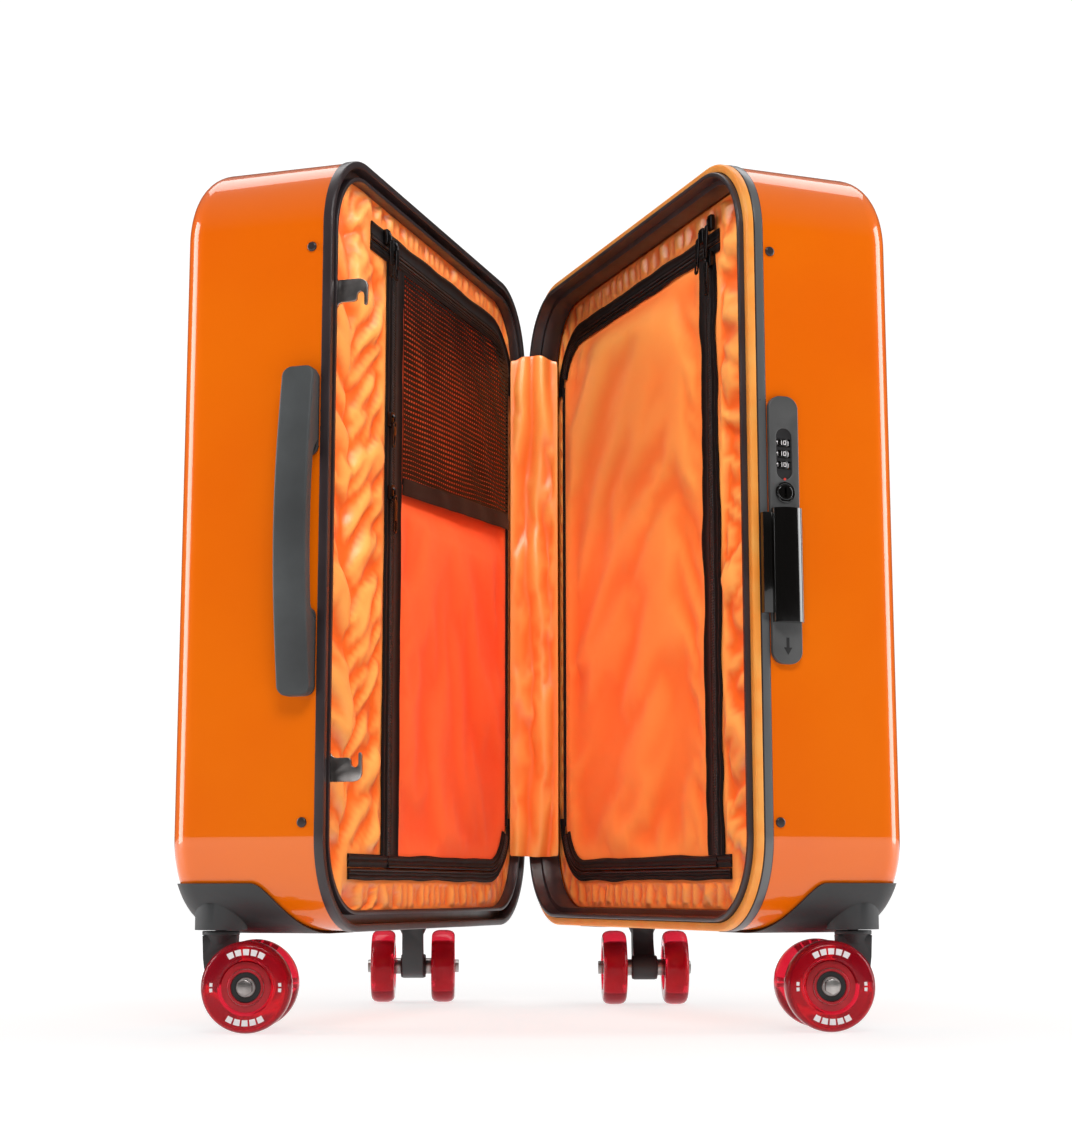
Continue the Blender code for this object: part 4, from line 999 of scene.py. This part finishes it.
def near_edge(half, z):
    """Where a flap starts in u at height z: its corners are round on the spine side only."""
    near = FLAPS[half][0]
    for beyond in (FLAP_Z[0] + SPINE_RADIUS - z, z - (FLAP_Z[1] - SPINE_RADIUS)):
        if beyond > 0:
            near = FLAPS[half][0] + SPINE_RADIUS - math.sqrt(max(0.0, SPINE_RADIUS ** 2 - beyond ** 2))
    return near


def crease(u, z, seed, scale, turn, sharp=1.0):
    """Soft directional folds: noise stretched along a direction, from -1 to 1."""
    along, across = u * math.cos(turn) + z * math.sin(turn), -u * math.sin(turn) + z * math.cos(turn)
    value = noise.noise(Vector((along / scale[0], across / scale[1], seed)))
    return math.copysign(abs(value) ** sharp, value)


def kd_tree(points):
    tree = KDTree(len(points))
    for i, point in enumerate(points):
        tree.insert((point.x, point.y, 0), i)
    tree.balance()
    return tree


def tape_distance(half, side):
    """A function giving how far a point is from the nearest zip tape, on the cover (0) or the flap (1)."""
    strips = []
    for part, path in zip_paths(half).items():
        outward = -1 if part == "top" else 1
        strips.append((path, -outward if side else outward, WIDTHS[half][part][side]))
        if part != "side" and not side:  # the end of the flap's tape lies on the cover
            strips.append(([path[0], (FLAPS[half][1], path[0][1])], -outward, WIDTHS[half][part][1]))
    lines = []
    for path, sign, width in strips:
        lines.append((kd_tree(beside(resample(path, 0.003), sign * width / 2)), width / 2))

    def distance(u, z):
        return min(tree.find(Vector((u, z, 0)))[2] - reach for tree, reach in lines)

    return distance


def net_share(z):
    """0 on the open part of the left flap and 1 behind its pocket."""
    return smooth((z - BELOW_NET) / 0.02)


def flap_relief(half, u, z):
    """How far the folds of a flap lift it towards the mouth."""
    if half == "left":
        lift = 0.0012 * crease(u, z, 3.1, (0.16, 0.05), 1.1) + 0.0004 * crease(u, z, 7.7, (0.05, 0.02), 1.3)
        return lift * (1 - net_share(z))
    lift = 0.0034 * crease(u, z, 5.3, (0.19, 0.07), 0.9) + 0.0007 * crease(u, z, 9.1, (0.08, 0.026), 0.6)
    return lift + 0.0032 * smooth((u - 0.235) / 0.04) * crease(u, z, 6.2, (0.035, 0.012), 2.5)


def make_flap(half):
    """The panel that opens, a grid of cloth between its zip and its sewn spine edge."""
    (low, high), far, columns, row_count = FLAP_Z, FLAPS[half][1], 48, 78
    clear_of_tape = tape_distance(half, 1)

    def free(u, z):
        return min(clear_of_tape(u, z) + 0.001, u - near_edge(half, z) - 0.0025)

    def depth(u, z):
        v = FRONTS[half]
        if half == "left":
            behind_net = 0.0026 * net_share(z) * smooth((far - 0.008 - u) / 0.01)
            v += behind_net * smooth(free(u, z) / 0.006)
        return v - flap_relief(half, u, z) * smooth(free(u, z) / 0.022)

    def slack(co):
        most = 0.0018 if half == "right" or co.z < BELOW_NET else 0.0006
        return most * smooth(free(co.x, co.z) / 0.02)

    uvs = []
    for j in range(row_count + 1):
        z = low + (high - low) * j / row_count
        near = near_edge(half, z)
        uvs.append([(near + (far - near) * i / columns, z) for i in range(columns + 1)])
    sheet = sheet_grid([[(u, depth(u, z), z) for u, z in row] for row in uvs], uvs)
    settle(sheet, slack, 0.006)
    mark_ridges(sheet, 22, 0.32)
    look, slot = FLAP_CLOTH[half]
    made = case_piece(thicken(sheet, 0.0008), half, f"{half}_flap_cloth", look, f"{half}_flap",
                      replaces=[f"{half}_flap"], slot=slot, angle=80)


def border_relief(half, u, z, t):
    """How far the border's folds lift it: short pleats round three sides, long creases beside the zip.

    t runs from 0 at the zip to 1 at the rim.
    """
    seam_u, pleat_depth, fold_depth, seam_depth = 0.335, 0.0032, 0.0066, 0.0024
    pleat = noise.noise(Vector((u / 0.0085, 0.2 * t, 11.3 if half == "left" else 4.2)))
    pleat += 0.35 * noise.noise(Vector((u / 0.004, 0.2 * t, 2.9)))
    if half == "left":
        outside = smooth((u - seam_u) / 0.004)
        fold = (1 - outside) * crease(u, z, 2.2, (0.034, 0.009), 2.45, 0.8)
        fold += outside * crease(u, z, 7.4, (0.055, 0.017), 0.45)
    else:
        fold = crease(u, z, 8.6, (0.06, 0.019), 2.62)
        fold += 0.45 * crease(u, z, 5.7, (0.034, 0.0085), 2.8 if z > 0.3 else 0.4)
    by_side = smooth((u - FLAPS[half][1] - 0.004) / 0.02)
    relief = pleat_depth * pleat * (1 - 0.35 * t) * (1 - by_side) + fold_depth * fold * by_side
    if half == "left":
        relief -= seam_depth * (1 - smooth(abs(u - seam_u) / 0.005)) * by_side
    return relief


def make_cover(half):
    """The sewn border of lining between the rim and the zip."""
    (near, far), (low, high), inset = FLAPS[half], FLAP_Z, COVER_INSET - 0.0008
    outer = ring_points((inset, CASE_WIDTH - inset), (SHELL_BOTTOM + inset, SHELL_TOP - inset),
                        CORNER_RADIUS - inset, 12, 92)
    inner = ring_points((near - 0.0016, far + 0.0006), (low - 0.0006, high + 0.0006),
                        (0.002, SPINE_RADIUS, SPINE_RADIUS, 0.002), 12, 92)
    clear_of_tape = tape_distance(half, 0)
    edges = kd_tree([Vector(p) for p in inner + outer])
    across, hem = 28, 0.005
    rows, uvs = [], []
    for (u0, z0), (u1, z1) in zip(inner, outer):
        width = math.hypot(u1 - u0, z1 - z0)
        row, uv_row = [], []
        for k in range(across + 1):
            t = k / across
            u, z = u0 + (u1 - u0) * t, z0 + (z1 - z0) * t
            ease = smooth((clear_of_tape(u, z) - 0.0015) / 0.009)
            ease *= smooth((1 - t) * width / hem)
            ease *= smooth(t * width / hem)
            if half == "right":
                ease *= 1 - smooth((u - 0.356) / 0.009)
            row.append((u, FRONTS[half] - border_relief(half, u, z, t) * ease, z))
            uv_row.append((u, z))
        rows.append(row)
        uvs.append(uv_row)
    sheet = sheet_grid(rows + rows[:1], uvs + uvs[:1])

    def slack(co):
        free = min(edges.find(Vector((co.x, co.z, 0)))[2] - 0.002, clear_of_tape(co.x, co.z) - 0.0015)
        if half == "right":
            free = min(free, 0.366 - co.x)
        return 0.004 * smooth(free / 0.009)

    settle(sheet, slack, 0.035)
    mark_ridges(sheet, 14, 0.6)
    made = case_piece(thicken(sheet, 0.0007), half, f"{half}_border_cloth", "satin",
                      replaces=[f"{half}_fabric_cover"], slot="orange_satin", angle=80)


# ---------------------------------------------------------------- zips
def resample(points, step):
    """Points about step apart along a polyline."""
    out = [Vector(points[0])]
    for a, b in zip(points, points[1:]):
        a, b = Vector(a), Vector(b)
        pieces = max(1, round((b - a).length / step))
        out += [a + (b - a) * k / pieces for k in range(1, pieces + 1)]
    return out


def directions(points):
    """The unit direction of a line of vectors at each of its points."""
    return [(points[min(i + 1, len(points) - 1)] - points[max(i - 1, 0)]).normalized()
            for i in range(len(points))]


def normals_of(points):
    return [Vector((-along.y, along.x)) for along in directions(points)]


def beside(points, offset):
    """The line that runs offset to the left of a line."""
    return [p + n * offset for p, n in zip(points, normals_of(points))]


def ribbon(points, first, last, front, wobble=0.0, seed=0.0):
    """A woven tape along a path in the UZ plane, from offset first to last on its left, facing the mouth."""
    thickness = 0.0007
    points = resample(points, 0.004)
    width = last - first
    sign = 1 if width > 0 else -1
    profile = [(0.0, 0.0), (0.0, 1.0)]  # offset across the tape, height in thicknesses
    hems = (0.003 * sign, width - 0.0018 * sign) if abs(width) > 0.0064 else (width - 0.0018 * sign,)
    for middle in hems:
        profile += [(middle + offset * sign, height) for offset, height in
                    ((-0.0012, 1.0), (-0.0006, 1.9), (0.0002, 2.1), (0.0008, 1.7), (0.0012, 0.9))]
    profile += [(width, 1.0), (width, 0.0)]
    bm = bmesh.new()
    layer = bm.loops.layers.uv.new("UVMap")
    rows, place, distance = [], {}, 0.0
    for i, (point, normal) in enumerate(zip(points, normals_of(points))):
        distance += (point - points[i - 1]).length if i else 0.0
        shake = wobble * noise.noise(Vector((distance / 0.035, seed, 1.7)))
        ripple = wobble * 0.35 * noise.noise(Vector((distance / 0.02, seed, 5.1)))
        row = []
        for offset, height in profile:
            reach = abs(offset) / max(1e-6, abs(width))
            here = point + normal * (first + offset + shake * reach * sign)
            row.append(bm.verts.new((here.x, front - thickness * height - ripple * reach, here.y)))
            place[row[-1]] = (distance, first + offset)
        rows.append(row)
    stitch(bm, rows)
    give_uv(bm, layer, place)
    return faced(bm)


def tube_along(points, radius, step, ripple=0.0, pitch=0.0015, sides=8):
    """A tube along 3-D points; ripple makes the turns of a zip coil."""
    dense = resample(points, step)
    bm = bmesh.new()
    rings, distance = [], 0.0
    for i, (point, along) in enumerate(zip(dense, directions(dense))):
        distance += (point - dense[i - 1]).length if i else 0.0
        side = along.cross(Vector((0, 1, 0)))
        side = side.normalized() if side.length > 1e-6 else Vector((1, 0, 0))
        up = side.cross(along).normalized()
        reach = radius * (1 + ripple * math.cos(2 * math.pi * distance / pitch))
        rings.append([bm.verts.new(point + side * reach * math.cos(a) + up * reach * math.sin(a))
                      for a in (2 * math.pi * k / sides for k in range(sides))])
    stitch(bm, rings)
    return faced(bm)


def zip_paths(half):
    """The zip line on its three sides, each from the lock side towards the spine, or downward."""
    (near, far), (low, high), radius = FLAPS[half], FLAP_Z, SPINE_RADIUS
    past_top, past_low = (0.306, 0.331) if half == "left" else (0.309, 0.313)
    arc_high = [(near + radius - radius * math.sin(a), high - radius + radius * math.cos(a))
                for a in (math.radians(90 * i / 14) for i in range(15))]
    arc_low = [(u, low + high - z) for u, z in arc_high]
    return {"top": [(past_top, high)] + arc_high, "side": [(far, high - 0.0065), (far, low + 0.008)],
            "low": [(past_low, low)] + arc_low}


WIDTHS = {  # cover side, flap side
    "left": {"top": (0.013, 0.007), "side": (0.011, 0.0185), "low": (0.0078, 0.0085)},
    "right": {"top": (0.0095, 0.006), "side": (0.01, 0.015), "low": (0.0075, 0.0085)},
}


def make_zips(half):
    front, far, flap = FRONTS[half] - 0.0008, FLAPS[half][1], f"{half}_flap"
    seeds = {"top": 1.0, "side": 2.0, "low": 3.0} if half == "left" else {"top": 6.0, "side": 7.0, "low": 8.0}
    gap, coil_offset, coil_radius = 0.0003, 0.0013, 0.0009
    coil_step, coil_ripple, coil_pitch = 0.00045, 0.22, 0.0018

    def black(source, name, look, body, angle):
        case_piece(source, half, f"{half}_{name}", look, body, slot="black_zip", angle=angle)

    for part, path in zip_paths(half).items():
        cover_width, flap_width = WIDTHS[half][part]
        out = -1 if part == "top" else 1
        wobble = 0.0035 if (half == "right" and part == "side") else 0.0012
        cover_line = flap_line = path
        if part != "side":
            cover_line, flap_line = path[:-3], [(far, path[0][1])] + path[1:-3]
        outer = ribbon(path, out * gap, out * cover_width, front, wobble, seeds[part])
        black(outer, f"zip_{part}_cover_tape", "tape", BODIES[half], 60)
        inner = ribbon(flap_line, -out * gap, -out * flap_width, front, wobble, seeds[part] + 0.5)
        black(inner, f"zip_{part}_flap_tape", "tape", flap, 60)
        if part != "side":
            end = ribbon([path[0], (far + 0.0006, path[0][1])], -out * gap, -out * flap_width, front + 0.0003)
            black(end, f"zip_{part}_tape_end", "tape", BODIES[half], 60)
        sides = (("cover", out, cover_line, BODIES[half]), ("flap", -out, flap_line, flap))
        for label, sign, line, body in sides:
            middle = beside(resample(line, 0.004), sign * coil_offset)
            coil = tube_along([(p.x, front - coil_radius, p.y) for p in middle], coil_radius, coil_step,
                              coil_ripple, coil_pitch, 6)
            black(coil, f"zip_{part}_{label}_coil", "coil", body, 80)
    ends = (FLAP_Z[0] + SPINE_RADIUS - 0.006, FLAP_Z[1] - SPINE_RADIUS + 0.006)
    piping = tube_along([(FLAPS[half][0] + 0.0012, front - 0.0004, z) for z in ends], 0.0011, 0.006, sides=10)
    black(piping, "flap_piping", "tape", flap, 80)


def slider_shape(u, top, drop, v, swing):
    """A zip slider with its bail and a long looped pull, whose end swings aside."""
    body = round_plate(about(u, 0.0036), (top - 0.0105, top), 0.0016, 6, "UZ", v, 0.003, 0.0007, 2)
    line = ((0.001, 0.002), (0.0026, 0.0036), (0.0028, 0.0078), (0.001, 0.0096))
    bail = tube_along([(u, v - out, top - down) for out, down in line], 0.0007, 0.001)
    low = top - drop
    loops = [[(u + x + swing * (z - top) / -drop, z) for x, z in ring_points(about(0, width), ends, *facts)]
             for width, ends, facts in ((0.0026, (low, top - 0.007), (0.0024, 8, 4)),
                                        (0.0013, (low + 0.0016, low + 0.0085), (0.0012, 6, 2)),
                                        (0.0011, (top - 0.0105, top - 0.0083), (0.0009, 6, 1)))]
    return merged(body, bail, plate(loops, "UZ", v - 0.003, 0.0012, 0.0003, 1))


def make_sliders():
    left, right = LEFT_FLAP_U[1] + 0.0056, RIGHT_FLAP_U[1] + 0.0056
    # name, body, node, u, top, length of the pull, v, swing; those without a node are parked pulls
    rows = [("left_high", "zip_left_high", "zip_slider_left_high", left, 0.518, 0.029, 0.0052, 0.002),
            ("left_low", "zip_left_low", "zip_slider_left_low", left, 0.35, 0.033, 0.0052, 0.0),
            ("left_top_end", "left_half", None, left + 0.0125, 0.5215, 0.033, 0.005, -0.001),
            ("left_middle", "left_half", None, left + 0.0015, 0.399, 0.025, 0.0052, 0.003),
            ("right_side", "zip_right", "zip_slider_right", right, 0.505, 0.031, 0.0167, 0.001),
            ("right_top_end", "right_half", None, right + 0.0035, 0.529, 0.03, 0.0165, -0.004),
            ("right_top", "right_half", None, right - 0.008, 0.523, 0.031, 0.0155, -0.004)]
    for name, body, node, *facts in rows:
        case_piece(slider_shape(*facts), name.split("_")[0], f"zip_{name}_pull", "pull", body,
                   replaces=[node] if node else [], slot="black_zip", angle=40)


# ---------------------------------------------------------------- mesh pocket, gusset, linings
def net_depth(u, z):
    """How far from the closing plane the net hangs, in front of the flap."""
    bag = 0.001 * math.sin(math.pi * min(1.0, max(0.0, (u - 0.022) / 0.225)))
    folds = 0.0012 * crease(u, z, 6.4, (0.12, 0.022), 0.95) + 0.0005 * crease(u, z, 8.8, (0.05, 0.012), 0.6)
    return FRONTS["left"] - 0.0022 - bag - folds


def hem_low(u):
    """Height of the pocket hem's lower edge."""
    return HEM_BOTTOM + (0.348 - HEM_BOTTOM) * (u - 0.02) / 0.22


def make_pocket():
    far, top, hem = LEFT_FLAP_U[1] - 0.018, FLAP_Z[1] - 0.0065, 0.012
    strand_pitch, strand_half_width, tie_pitch, tie_half_width = 0.0032, 0.00104, 0.0042, 0.00018
    bm = bmesh.new()

    def strand(points, half_width, along_u):
        rows, half_thick = [], 0.00016
        for u, z in points:
            shade = 1 + 0.45 * crease(u, z, 6.4, (0.1, 0.02), 0.95) if along_u else 1
            wide_u, wide_z = (0, half_width * shade) if along_u else (half_width, 0)
            v = net_depth(u, z)
            rows.append([bm.verts.new((u + a * wide_u, v + b * half_thick, z + a * wide_z))
                         for a, b in ((-1, 1), (-1, -1), (1, -1), (1, 1))])
        stitch(bm, rows)

    z = 0.362 + hem
    while z < top:
        near = near_edge("left", z) + 0.001
        steps = max(6, round((far - near) / 0.006))
        share = smooth((top - z) / (top - 0.373))  # the strands lie along the hem low down, level at the top
        line = [near + (far - near) * i / steps for i in range(steps + 1)]
        strand([(u, z + share * (0.0022 * crease(u, z, 1.3, (0.08, 0.05), 0.4) + hem_low(u) - HEM_BOTTOM))
                for u in line], strand_half_width, True)
        z += strand_pitch
    u = 0.025
    while u < far:
        bottom, ceiling = hem_low(u) + hem * 0.6, top
        for _ in range(40):
            if near_edge("left", ceiling) + 0.001 > u:
                ceiling -= 0.001
        steps = max(4, round((ceiling - bottom) / 0.006))
        line = [bottom + (ceiling - bottom) * i / steps for i in range(steps + 1)]
        strand([(u, height) for height in line], tie_half_width, False)
        u += tie_pitch
    net = case_piece(faced(bm), "left", "pocket_net", "mesh", "left_flap", replaces=["mesh_pocket"],
                     slot="dark_mesh", angle=60)
    line = resample([(far, hem_low(far)), (HEM_START, hem_low(HEM_START))], 0.006)
    uvs = [[(p.x, p.y + rise) for rise in (0.0, 0.0008, 0.004, 0.008, 0.0112, hem)] for p in line]
    band = sheet_grid([[(u, net_depth(u, z) - 0.0003, z) for u, z in row] for row in uvs], uvs)
    hem_piece = case_piece(thicken(band, 0.0009), "left", "pocket_hem", "tape", "left_flap", slot="dark_mesh",
                           angle=80)


def make_gusset():
    """The fabric spine between the halves, in the row frame."""
    low, high, across, row_count = 0.11, 0.497, 22, 64

    def edge(half, z):
        u, v = (0.02, 0.0058) if half == "left" else (0.0222, 0.0148)
        return HALVES[half] @ Vector((u, v, z))

    left, right = edge("left", 0), edge("right", 0)
    rows, uvs = [], []
    for j in range(row_count + 1):
        t = j / row_count
        z = low + (high - low) * t
        row, uv_row = [], []
        for i in range(across + 1):
            s = i / across
            place = edge("left", z).lerp(edge("right", z), s)
            middle = math.sin(math.pi * s)
            folds = -0.0028 * (1 + math.sin(math.pi * s * 4 + 0.9 * math.sin(z * 23))) * middle
            folds += 0.0024 * crease(s * 0.03, z, 3.3, (0.009, 0.05), 0.1) * middle
            peak = 0.0045 * middle ** 2 * smooth((t - 0.94) / 0.06)
            row.append((place.x, place.y + 0.005 * middle + folds, z + peak))
            uv_row.append((s * 0.045, z))
        rows.append(row)
        uvs.append(uv_row)
    sheet = sheet_grid(rows, uvs)

    def slack(co):
        return 0.002 * smooth((min(co.x - left.x, right.x - co.x) - 0.0015) / 0.006)

    settle(sheet, slack, 0.012)
    mark_ridges(sheet, 6, 0.45)
    made = finish_piece(thicken(sheet, 0.0008), "spine_gusset_cloth", "satin_smooth", Matrix.Identity(4),
                        None, replaces=["spine_gusset_left", "spine_gusset_right"], slot="orange_satin",
                        angle=80)
    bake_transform(made)


def make_linings():
    hollow = round_plate((0.0062, CASE_WIDTH - 0.0062), (0.0672, 0.5098), 0.0488, 20, "UZ", 0.03665, 0.0433)
    left = round_plate((0.005, CASE_WIDTH - 0.005), (0.066, 0.511), 0.05, 20, "UZ", 0.03975, 0.0395)
    for half, shape in (("left", cut(left, hollow)), ("right", tub(0.024, grow=-0.0034, wall=0.0012))):
        node_piece(shape, half, f"{half}_lining", "liner", "lining", "orange_satin")


# ---------------------------------------------------------------- stage, lights, camera
def make_stage():
    mesh = bpy.data.meshes.new("floor")
    size = 30.0
    front = -3.9  # where the floor ends in front of the case
    corners = [(-size, front, 0), (size, front, 0), (size, size, 0), (-size, size, 0)]
    mesh.from_pydata(corners, [], [(0, 1, 2, 3)])
    floor = link("floor", mesh)
    look = Look("pale_floor", "9a9a9a", 0.6, Emission_Color=(1, 1, 1, 1))
    near = look.node("ShaderNodeVectorMath", operation="LENGTH")
    look.link(look.node("ShaderNodeTexCoord").outputs["Object"], near.inputs[0])
    # painted shadow: the floor's glow falls a little near its middle, under the case
    shadow_glow, around, inner, outer = 0.72, 0.94, 0.3, 1.6  # a little darker under the case
    glow = look.span(near.outputs["Value"], shadow_glow, around, inner, outer)
    look.link(glow, look.shader.inputs["Emission Strength"])
    look.vary_roughness(look.noise(3.0), 0.5, 0.6)
    mesh.materials.append(look.material)


def make_world():
    """White to the camera, and a soft gradient of light from above to everything else."""
    world = bpy.data.worlds.new("studio")
    bpy.context.scene.world = world
    world.use_nodes = True
    tree = world.node_tree
    background = tree.nodes["Background"]
    background.inputs["Color"].default_value = (1, 1, 1, 1)
    source = tree.nodes.new("ShaderNodeTexCoord")
    split = tree.nodes.new("ShaderNodeSeparateXYZ")
    ramp = tree.nodes.new("ShaderNodeMapRange")
    path = tree.nodes.new("ShaderNodeLightPath")
    mix = tree.nodes.new("ShaderNodeMix")
    for key, value in (("From Min", 0.4), ("From Max", 1.0), ("To Min", 0.04), ("To Max", 0.4)):
        ramp.inputs[key].default_value = value
    mix.inputs["B"].default_value = 1.08
    for output, target in ((source.outputs["Generated"], split.inputs["Vector"]),
                           (split.outputs["Z"], ramp.inputs["Value"]),
                           (path.outputs["Is Camera Ray"], mix.inputs["Factor"]),
                           (ramp.outputs["Result"], mix.inputs["A"]),
                           (mix.outputs["Result"], background.inputs["Strength"])):
        tree.links.new(output, target)


def area_light(name, place, target, size, power, only=None):
    lamp = bpy.data.lights.new(name, "AREA")
    lamp.shape, lamp.size, lamp.size_y = "RECTANGLE", size[0], size[1]
    lamp.energy = power
    made = link(name, lamp)
    made.location, made.visible_camera = place, False
    made.rotation_euler = (Vector(target) - Vector(place)).to_track_quat("-Z", "Y").to_euler()
    if only:
        made.light_linking.receiver_collection = only


def make_lights():
    area_light("key_overhead", (0.0, 0.95, 2.4), (0, 0.6, 0), (2.8, 1.1), 22)
    area_light("front_high", (0.1, -1.9, 1.9), (0, 0.1, 0.33), (1.1, 0.7), 24)
    for name, x in (("side_left", -2.0), ("side_right", 2.0)):
        area_light(name, (x, 0.05, 0.7), (0, 0, 0.4), (0.8, 1.7), 25)
    inside = bpy.data.collections.new("inner_cloth")
    for piece in bpy.data.objects:
        if piece.type == "MESH" and piece.name.endswith(("_cloth", "_liner")):
            inside.objects.link(piece)
    area_light("fill_right", (0.36, -0.62, 1.0), (-0.06, 0, 0.42), (0.25, 0.25), 6.8, inside)
    area_light("fill_left", (-0.3, -0.58, 1.08), (0.06, 0, 0.45), (0.25, 0.25), 8.2, inside)


def make_camera():
    bpy.context.scene.view_settings.view_transform = "Standard"
    data = bpy.data.cameras.new("camera")
    data.sensor_fit, data.sensor_height, data.lens = "VERTICAL", 36.0, 66.1
    data.clip_start, data.clip_end = 0.05, 100
    made = link("camera", data)
    heading, pitch, roll = 0.025, math.radians(9.01), -0.0007
    made.location = (-0.0335, HINGE_Y - 0.0057 - 1.6023, 0.0841)
    made.rotation_euler = (Matrix.Rotation(-heading, 3, "Z") @ Matrix.Rotation(math.pi / 2 + pitch, 3, "X")
                           @ Matrix.Rotation(roll, 3, "Z")).to_euler()
    bpy.context.scene.camera = made


make_camera()
make_stage()
make_world()
make_shells()
make_rims()
make_bumpers()
make_casters()
make_side_handle()
make_lock()
make_latches()
make_trolley()
make_spine_hinges()
make_linings()
for half_name in HALVES:
    make_flap(half_name)
    make_cover(half_name)
    make_zips(half_name)
make_sliders()
make_pocket()
make_gusset()
make_lights()
